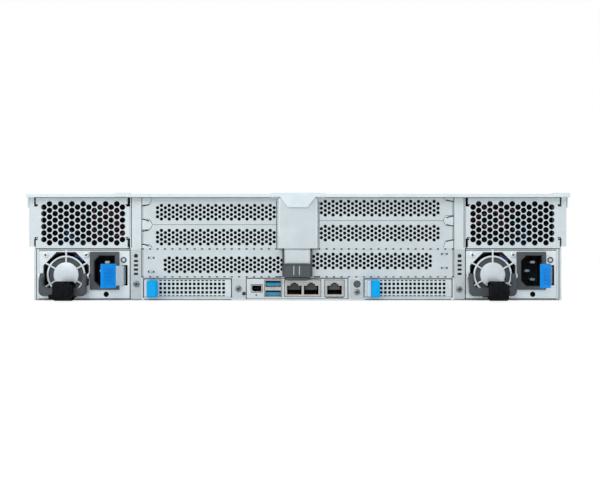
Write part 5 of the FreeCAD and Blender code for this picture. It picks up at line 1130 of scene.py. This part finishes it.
of_blocks("display_blade", "black_moulding", "chassis",
          [(-36.0, -31.0, FACE + 1, FACE + 11, 9.4, 10.3, 0.15, 1)])

# %% [markdown]
# Behind the holes it is dark. That shade is painted as a black sheet a little way in behind each
# slot cover and each vent, and through the vents a few cable looms can be made out: reddish near
# the middle of the server, bluish low down towards its sides.

# %% Painted shade behind the holes, and looms
UPPER = (44.0, 83.0)
shade_sheets = []
for side in SIDES.values():
    covers, vent = sorted((8.0 * side, 126.0 * side)), sorted((139.0 * side, 217.0 * side))
    shade_sheets += [(*covers, FACE + 14, FACE + 15, *UPPER, 0.2, 1),
                (*covers, FACE + 14, FACE + 15, 20.5, 41.0, 0.2, 1),
                (*vent, FACE + 42, FACE + 43, *UPPER, 0.2, 1)]
of_blocks("dust_screens", "black_moulding", "chassis", shade_sheets)
LOOM_SEED = 7
for name, count, reach, heights in (("loom_red", 7, (146, 180), (60, 82)),
                                    ("loom_blue", 3, (186, 196), (48, 62))):
    looms = bmesh.new()
    chance = random.Random(LOOM_SEED)
    for side in SIDES.values():
        for _ in range(count):
            u, v = chance.uniform(*reach), chance.uniform(*heights)
            sweep(looms, [(side * (u + 7 * math.sin(k * 0.7 + v)),
                           FACE + 19 + k * 2.2 + 3 * math.sin(k + u),
                           min(82, max(46, v + 9 * math.sin(k * 0.45 + u)))) for k in range(9)],
                  circle(0, 0, 0.8, 8))
    place(name, looms, name, "chassis")

# %% [markdown]
# The parts of the rear face meet at open seams, dark with the shade inside them. That shade is
# painted as thin dark strips a hair proud of the sheet behind them, and under the lid's lip as its
# shadow. A seam is written as its two ends, and most are drawn once and mirrored.

# %% Painted shade in the seams
SHADE_LINE_WIDTH = 0.55
MIRRORED = [(136.6, 1.0, 136.6, 42.0), (136.6, 42.2, 213.5, 42.2), (127.2, 19.4, 127.2, 84.0),
            (127.2, 42.1, 17.5, 42.1, 0.9), (127.2, 19.2, 13.5, 19.2, 0.9),
            (17.3, 43.0, 17.3, 80.5), (135.6, 43.5, 135.6, 84.5), (213.0, 1.5, 213.0, 41.5),
            (213.0, 0.95, 127.5, 0.95), (125.0, 0.95, 54.5, 0.95), (125.9, 2.3, 125.9, 17.8),
            (53.9, 2.3, 53.9, 17.8), (53.9, 17.9, 125.9, 17.9),
            # The last line, under the lid's lip, paints the lip's shadow.
            (22.5, 84.0, 213.5, 84.0, SHADE_LINE_WIDTH, -0.3)]
for u, foot in ((214.0, 212.2), (138.4, 140.2)):
    MIRRORED += [(u, 78.6, u, 83.9, 0.8), (u, 78.2, foot, 78.2, 0.7),
                 (u, 44.2, u, 51.0, 0.8), (u, 51.4, foot, 51.4, 0.7)]
HOOKS = {-1: ((77.2, 1.1), (66.3, -1.7), (56.6, 1.0), (45.8, -1.6)),
         1: ((80.8, 1.2), (68.8, -1.4), (60.8, 1.2), (49.4, -1.4))}


def shade_line(net, x0, z0, x1, z1, thick=SHADE_LINE_WIDTH, proud=-0.05):
    """A line of painted shade along one axis, from one end to the other, where two parts meet."""
    half, y = thick / 2, FACE + proud
    (a, b), (c, d) = sorted((x0, x1)), sorted((z0, z1))
    block(net, a - half, b + half, y, y + 0.2, c - half, d + half)


shade_lines = bmesh.new()
for x0, z0, x1, z1 in ((-42.0, 1.3, -42.0, 18.2), (41.0, 1.3, 41.0, 18.2),
                       (-42.0, 18.2, 41.0, 18.2)):
    shade_line(shade_lines, x0, z0, x1, z1)
for side, hooks in HOOKS.items():
    for x0, z0, x1, z1, *rest in MIRRORED:
        shade_line(shade_lines, x0 * side, z0, x1 * side, z1, *rest)
    for height, rise in hooks:
        sweep(shade_lines, [(side * (127.2 - 0.85 * k), FACE - 0.1, height + rise * (k / 7) ** 2)
                      for k in range(8)], circle(0, 0, 0.42, 6))
place("rear_seams", shade_lines, "seam_black", "chassis")

# %% [markdown]
# The low pillars and the strips beside the socket plate are a duller steel than the rest. Each
# pillar has a round hole and four slots in it, with a dark sheet behind that paints the shade
# inside them. The right strip leaves room for the round button. A few small dark marks on the
# face go in with that sheet: a six-pointed star, a dot and a short line under the management jack.

# %% Dull strips with their slots
strips, holes = bmesh.new(), bmesh.new()
STRIP = (FACE - 0.14, FACE - 0.02)
MARK = (FACE - 0.08, FACE + 0.1)
for side in SIDES.values():
    middle = 131.9 * side
    plate(strips, *STRIP, rectangle(middle - 4.3, middle + 4.3, 1.5, 41.7),
          circle(middle, 36.4, 1.65),
          *(rounded(middle - 1.7, middle + 1.7, v - 0.95, v + 0.95, 0.3)
            for v in (32.2, 28.7, 25.2, 21.7)))
    plate(holes, FACE - 0.01, FACE + 0.01, rectangle(middle - 2.2, middle + 2.2, 20.0, 38.6))
    button_hole = [circle(48.3, 13.4, 4.0, 32)] if side > 0 else []
    plate(strips, *STRIP, rectangle(*sorted((42.4 * side, 53.4 * side)), 1.5, 17.6),
          *button_hole)
plate(holes, FACE - 0.2, FACE - 0.15,
      [circle(-43.9, 5.6, 2.3 if k % 2 else 1.15, 12)[k] for k in range(12)])
plate(holes, *MARK, circle(-33.8, 4.4, 0.7, 12))
plate(holes, *MARK, rectangle(22.6, 37.2, 2.1, 2.7))
place("dull_strips", strips, "pillar_sheet", "chassis")
place("dull_strip_holes", holes, "seam_black", "chassis")

# %% [markdown]
# The two low slot covers are springy: small fingers stand along their top and bottom edges, and
# two bridge lances near the outer end hold a card's clip. The fingers and lances are small meshes
# set on points by the same tree as the screws, and so are the thin dark strips that paint the
# shade in the slits round each lance.

# %% Spring fingers, lances and the painted shade of their slits
def small_mesh(name, *blocks):
    """One small mesh of soft blocks (x0, x1, y0, y1, z0, z1, corner)."""
    net = bmesh.new()
    for sides in blocks:
        soft_block(net, *sides, 1)
    return plain_mesh(name, net)


FINGER_STEP = 6.05
fingers, lances = [], []
for side, middle in ((-1, 29.1), (1, 32.2)):
    for u in (side * (20.5 + step * FINGER_STEP) for step in range(18)):
        fingers += [(u, FACE, 41.9, 1, 0), (u, FACE, 19.4, 1, 180)]
    lances += [(119.5 * side, FACE, middle + up, 1, 0) for up in (-5.7, 5.7)]
SLIT = (-0.06, 0.1)
for name, look, spots, shape in (
        ("slot_fingers", "plated_sheet", fingers, [(-2.25, 2.25, -0.35, 0.3, -0.75, 0.75, 0.2)]),
        ("slot_lances", "plated_sheet", lances, [(-1.5, 1.5, -0.45, 0.1, -0.6, 0.6, 0.2)]),
        ("slot_lance_slits", "seam_black", lances,
         [(-2.7, -1.45, *SLIT, -0.55, 0.55, 0.02), (1.45, 2.7, *SLIT, -0.55, 0.55, 0.02),
          (-2.7, 2.7, *SLIT, 0.6, 0.82, 0.02), (-2.7, 2.7, *SLIT, -0.82, -0.6, 0.02)])):
    piece = set_on_points(name, small_mesh(name + "_one", *shape), look, spots)
    belongs(piece, "chassis", STANDS_FOR.get(look, look))

# %% [markdown]
# A bridge of plated steel holds the two riser cages together above the lever. Its long edges are
# bent back with a soft radius. Beside the jacks and on the right ear sits a round push button.

# %% Bridge and buttons
low, high = span("slot_bridge")
bridge = bmesh.new()
band(bridge, [(low.x + 0.5, high.y - 0.2), (low.x + 0.5, low.y + 3.4),
              *arc(low.x + 3.4, low.y + 3.4, 2.9, 180, 270, 5)[1:],
              *arc(high.x - 3.4, low.y + 3.4, 2.9, 270, 360, 5),
              (high.x - 0.5, high.y - 0.2)], 0.9, low.z, high.z)
place("slot_bridge_sheet", bridge, "plated_sheet", "chassis", "slot_bridge", smooth=0.9)
for node, way in (("locator_button", -1), ("power_button", 1)):
    low, high = span(node)
    out, back = (low.y, high.y) if way < 0 else (high.y, low.y)
    radius = (high.x - low.x) / 2
    cap = bmesh.new()
    turned(cap, [(radius, back), (radius, back - way * 1.4), (radius * 0.72, back - way * 1.6),
                 (radius * 0.72, out - way * 0.5), (radius * 0.62, out), (radius * 0.46, out),
                 (radius * 0.4, out - way * 0.4), (0.2, out - way * 0.4)],
           ((low.x + high.x) / 2, (low.z + high.z) / 2), 32)
    place(node + "_cap", cap, "button_plastic", node, node, smooth=0.5)

# %% [markdown]
# At the front, air comes in through a honeycomb above the drives and through a finer one in each
# drive's bezel. Both are the punched-sheet tree again, with six-sided holes.

# %% Front honeycombs
HONEY = math.cos(math.radians(30))


def honeycomb(name, body, slot, outline, middle, wide, high, y, thick, step, radius, *nodes):
    """A sheet with six-sided holes over a field of the given width and height."""
    rows, columns = int(high // step), int((wide / (step * HONEY) + 1) // 2)
    piece = punched(name, y, thick, slot, outline, middle, 2 * step * HONEY, columns, rows, step,
                    radius, other=(columns - 1, rows - 1, step), sides=6)
    belongs(piece, body, slot, *nodes)


INTAKE = "intake_panel"
SHOULDER = 42.6
low, high = span(INTAKE)
honeycomb("intake_honeycomb", "chassis", SLOTS[INTAKE],
          [(-213.5, low.z), (213.5, low.z), (213.5, SHOULDER), (high.x, SHOULDER),
           (high.x, high.z), (low.x, high.z), (low.x, SHOULDER), (-213.5, SHOULDER)],
          (0, 58.6), 420, 40, low.y, 1.2, 5.8, 2.75, INTAKE)
of_blocks("intake_folds", SLOTS[INTAKE], "chassis",
          [(-213, 213, low.y - 5, low.y + 0.2, z, z + 1.5, 0.4)
           for z in (low.z + 0.1, high.z - 1.6)])

# %% [markdown]
# A drive carrier is a dark tray with a bright drive in it. Its bezel holds the lever in a recess,
# and two small lamps and a release catch stand at the end of the lever.

# %% Drive carriers
BAYS = range(1, 5)
LEVER_LOW, LEVER_HIGH = 21.0, 28.8
for bay in BAYS:
    node, body, lever = f"drive_carrier_{bay}", f"drive_{bay}", f"drive_lever_{bay}"
    low, high = span(node)
    left, right, bottom, top, face = low.x, high.x, low.z, high.z, high.y
    tray = bmesh.new()
    for wall in ((left, left + 1.4), (right - 1.4, right)):
        soft_block(tray, *wall, low.y + 2, face - 6, bottom + 0.2, top - 4, 0.4, 1)
        soft_block(tray, *wall, low.y + 6, face - 20, bottom + 10, bottom + 13, 0.3, 1)
    soft_block(tray, left + 1, right - 1, low.y + 2, face - 6, bottom + 0.2, bottom + 1.4, 0.3, 1)
    vent = rectangle(left + 2.2, right - 2.2, bottom + 1.8, LEVER_LOW - 1.8)
    plate(tray, face - 6, face - 0.1, rounded(left, right, bottom, top, 1.2),
          rectangle(left + 2.2, right - 2.2, LEVER_LOW, LEVER_HIGH), vent)
    soft_block(tray, left + 1.5, right - 1.5, face - 6, face - 4.2, LEVER_LOW - 0.5,
               LEVER_HIGH + 0.5, 0.3, 1)
    place(node + "_tray", tray, "drive_body", body, node, smooth=0.5)
    honeycomb(node + "_honeycomb", body, "drive_body", vent,
              ((left + right) / 2, (bottom + 19.2) / 2 + 0.9), right - left - 8, 15, face - 3.2,
              1.0, 3.4, 1.6)
    of_blocks(node + "_disk", "inner_sheet", body,
              [(left + 1.6, right - 1.6, low.y + 3, face - 22, bottom + 1.5, top - 1.4, 1.0, 3)])
    of_blocks(node + "_lamps", "lamp_green", body,
              [(right - 4.6 - step, right - 3.0 - step, face - 3.3, face - 1.6, bottom + 3.0,
                bottom + 4.6, 0.4) for step in (0, 3.4)])
    low, high = span(lever)
    of_blocks(lever + "_ribs", SLOTS[lever], lever,
              [(u, u + 1.0, high.y - 0.5, high.y - 0.02, low.z + 1.2, high.z - 1.2, 0.2, 1)
               for u in (low.x + 4.0 + 2.2 * rib for rib in range(6))])

# %% [markdown]
# The four fans behind the drives get real wheels, and the two coolers real fins.

# %% Chassis fans and coolers
for node in (f"fan_rotor_{bay}" for bay in BAYS):
    low, high = span(node)
    fan_wheel(node + "_wheel", ((low.x + high.x) / 2, 40.5), low, high, 19.0, 33.2, SLOTS[node],
              node)
low, high = span("cpu_heatsinks")
COOLER_WIDE, FIN_STEP = 76, 2.06
fins = []
for side in SIDES.values():
    x0, x1 = sorted((side * high.x, side * (high.x - COOLER_WIDE)))
    fins.append((x0, x1, low.y, high.y, low.z, low.z + 6, 0.5, 1))
    fins += [(u, u + 0.6, low.y + 1, high.y - 1, low.z + 5.5, high.z - 0.2, 0.1, 1)
             for u in (x0 + 0.6 + FIN_STEP * fin for fin in range(37))]
of_blocks("cooler_fins", "heatsink_metal", "chassis", fins, "cpu_heatsinks", smooth=0.4)

# %% [markdown]
# Small parts make a board: chips near the memory modules and capacitors towards the front of the
# main board. They are a few tiny meshes on seeded random points, kept to the free areas.

# %% Board parts
BOARD_SEED = 11
chance = random.Random(BOARD_SEED)
board_top = span("mainboard")[1].z
chips, cans = [], []
for _ in range(150):
    u, v = chance.uniform(-120, 120), chance.uniform(-375, -230)
    if abs(u) >= 45 and v > -290:
        chips.append((u, v, board_top, chance.uniform(0.7, 1.6), 0))
for _ in range(90):
    cans.append((chance.uniform(-130, 130), chance.uniform(80, 118), board_top,
                 chance.uniform(0.8, 1.3), 0))
chip = small_mesh("chip", (-2.5, 2.5, -2, 2, -0.1, 0.9, 0.15))
belongs(set_on_points("board_chips", chip, "black_moulding", chips), "chassis", "black_moulding")
can = bmesh.new()
bmesh.ops.create_cone(can, segments=14, radius1=2.6 * MM, radius2=2.6 * MM, depth=5.2 * MM,
                      cap_ends=True, matrix=Matrix.Translation((0, 0, 2.5 * MM)))
belongs(set_on_points("board_cans", plain_mesh("can", can), "heatsink_metal", cans), "chassis",
        "heatsink_metal")

# %% [markdown]
# The sides are folded sheet held by flat rivets. The same tree sets the rivets, with the rivet's
# small mesh turned to face each way.

# %% Rivets
wall = span("base_pan")[1].x
for name, side in SIDES.items():
    rivet = dome_mesh("rivet", (1.0, 0.1), (1.0, -0.1), (0.82, -0.24), (0.3, -0.3), sides=20)
    rivet.transform(Matrix.Rotation(math.radians(90 * side), 4, "Z"))
    spots = [(side * wall, y, z, 2.4, 0) for y in range(-370, 331, 70) for z in (50, 76)]
    belongs(set_on_points(f"rivets_{name}", rivet, "zinc_sheet", spots), "chassis", "zinc_sheet")

# %% [markdown]
# The picture is plain: a pale floor and backdrop that the camera sees as white, one broad lamp
# above and behind the camera, and weaker ones at the sides and on top. The lamps stay dim enough
# that a colour looks as it was written.

# %% Floor and backdrop
scene = bpy.context.scene
REACH, UNDER = 4, -0.0006
WHITE = (1, 1, 1, 1)


def seen_by(t, *rays):
    """How far a ray is one of the kinds named, as the camera's or a mirrored one."""
    path = t.add("ShaderNodeLightPath").outputs
    seen = path[f"Is {rays[0]} Ray"]
    for kind in rays[1:]:
        seen = t.sum(seen, path[f"Is {kind} Ray"], "MAXIMUM")
    return seen


pale = bpy.data.materials.new("pale_floor")
t = empty_tree(pale)
matte = t.add("ShaderNodeBsdfDiffuse", {"Color": (0.92, 0.92, 0.92, 1)})
white = t.add("ShaderNodeEmission", {"Color": WHITE, "Strength": 1.12})
share = t.sum(seen_by(t, "Camera", "Glossy", "Transmission"), 0.8, "MULTIPLY")
t.add("ShaderNodeOutputMaterial",
      {"Surface": t.add("ShaderNodeMixShader", {0: share, 1: matte, 2: white})})
floor_mesh = bpy.data.meshes.new("floor")
floor_mesh.from_pydata([(u * REACH, v * REACH, UNDER) for u, v in rectangle(-1, 1, -1, 1)], [],
                       [(0, 1, 2, 3)])
floor_mesh.materials.append(pale)
floor = shown("floor", floor_mesh)
scene.world = bpy.data.worlds.new("studio")
t = empty_tree(scene.world)
sky = t.add("ShaderNodeBackground", {"Color": (0.95, 0.975, 1.0, 1), "Strength": 0.5})
backdrop = t.add("ShaderNodeBackground", {"Color": WHITE, "Strength": 1.0})
t.add("ShaderNodeOutputWorld", {"Surface": t.add("ShaderNodeMixShader", {
    0: seen_by(t, "Camera", "Transmission"), 1: sky, 2: backdrop})})
print("floor", 2 * REACH, "m wide under a", scene.world.name)

# %% [markdown]
# Each lamp is a soft round disc that looks at a point near the server.


# %% Lamps
def lamp(name, spot, aim, size, power):
    data = bpy.data.lights.new(name, "AREA")
    data.shape = "DISK"
    data.size = size
    data.energy = power
    light = shown(name, data)
    light.location = spot
    light.rotation_euler = (Vector(aim) - Vector(spot)).to_track_quat("-Z", "Y").to_euler()
    print(name, power, "W")


lamp("key", (-0.5, -1.9, 1.3), (0, -0.4, 0.03), 1.4, 17)
lamp("side_left", (-1.9, -0.9, 0.7), (-0.1, 0, 0.04), 1.2, 8)
lamp("side_right", (1.9, -0.9, 0.7), (0.1, 0, 0.04), 1.2, 8)
lamp("top", (0, 0.5, 2.2), (0, 0, 0), 1.8, 12)

# %% [markdown]
# The camera looks straight at the rear face, a little under a metre away and level with the
# middle of the face.

# %% Camera
FRAME_WIDTH, DISTANCE, EYE_HEIGHT = 489.2, 870.0, 43.2
SENSOR = 36.0
SIDE_SHIFT = 0.0037
camera = shown("camera", bpy.data.cameras.new("camera"))
camera.data.sensor_width = SENSOR
camera.data.lens = SENSOR * DISTANCE / FRAME_WIDTH
camera.data.shift_x = SIDE_SHIFT
camera.data.clip_start = 0.01
camera.location = Vector((0, REAR - DISTANCE, EYE_HEIGHT)) * MM
camera.rotation_euler = (math.radians(90), 0, 0)
scene.camera = camera
scene.view_settings.view_transform = "Standard"
print("lens", round(camera.data.lens, 1), "mm at", DISTANCE, "mm")
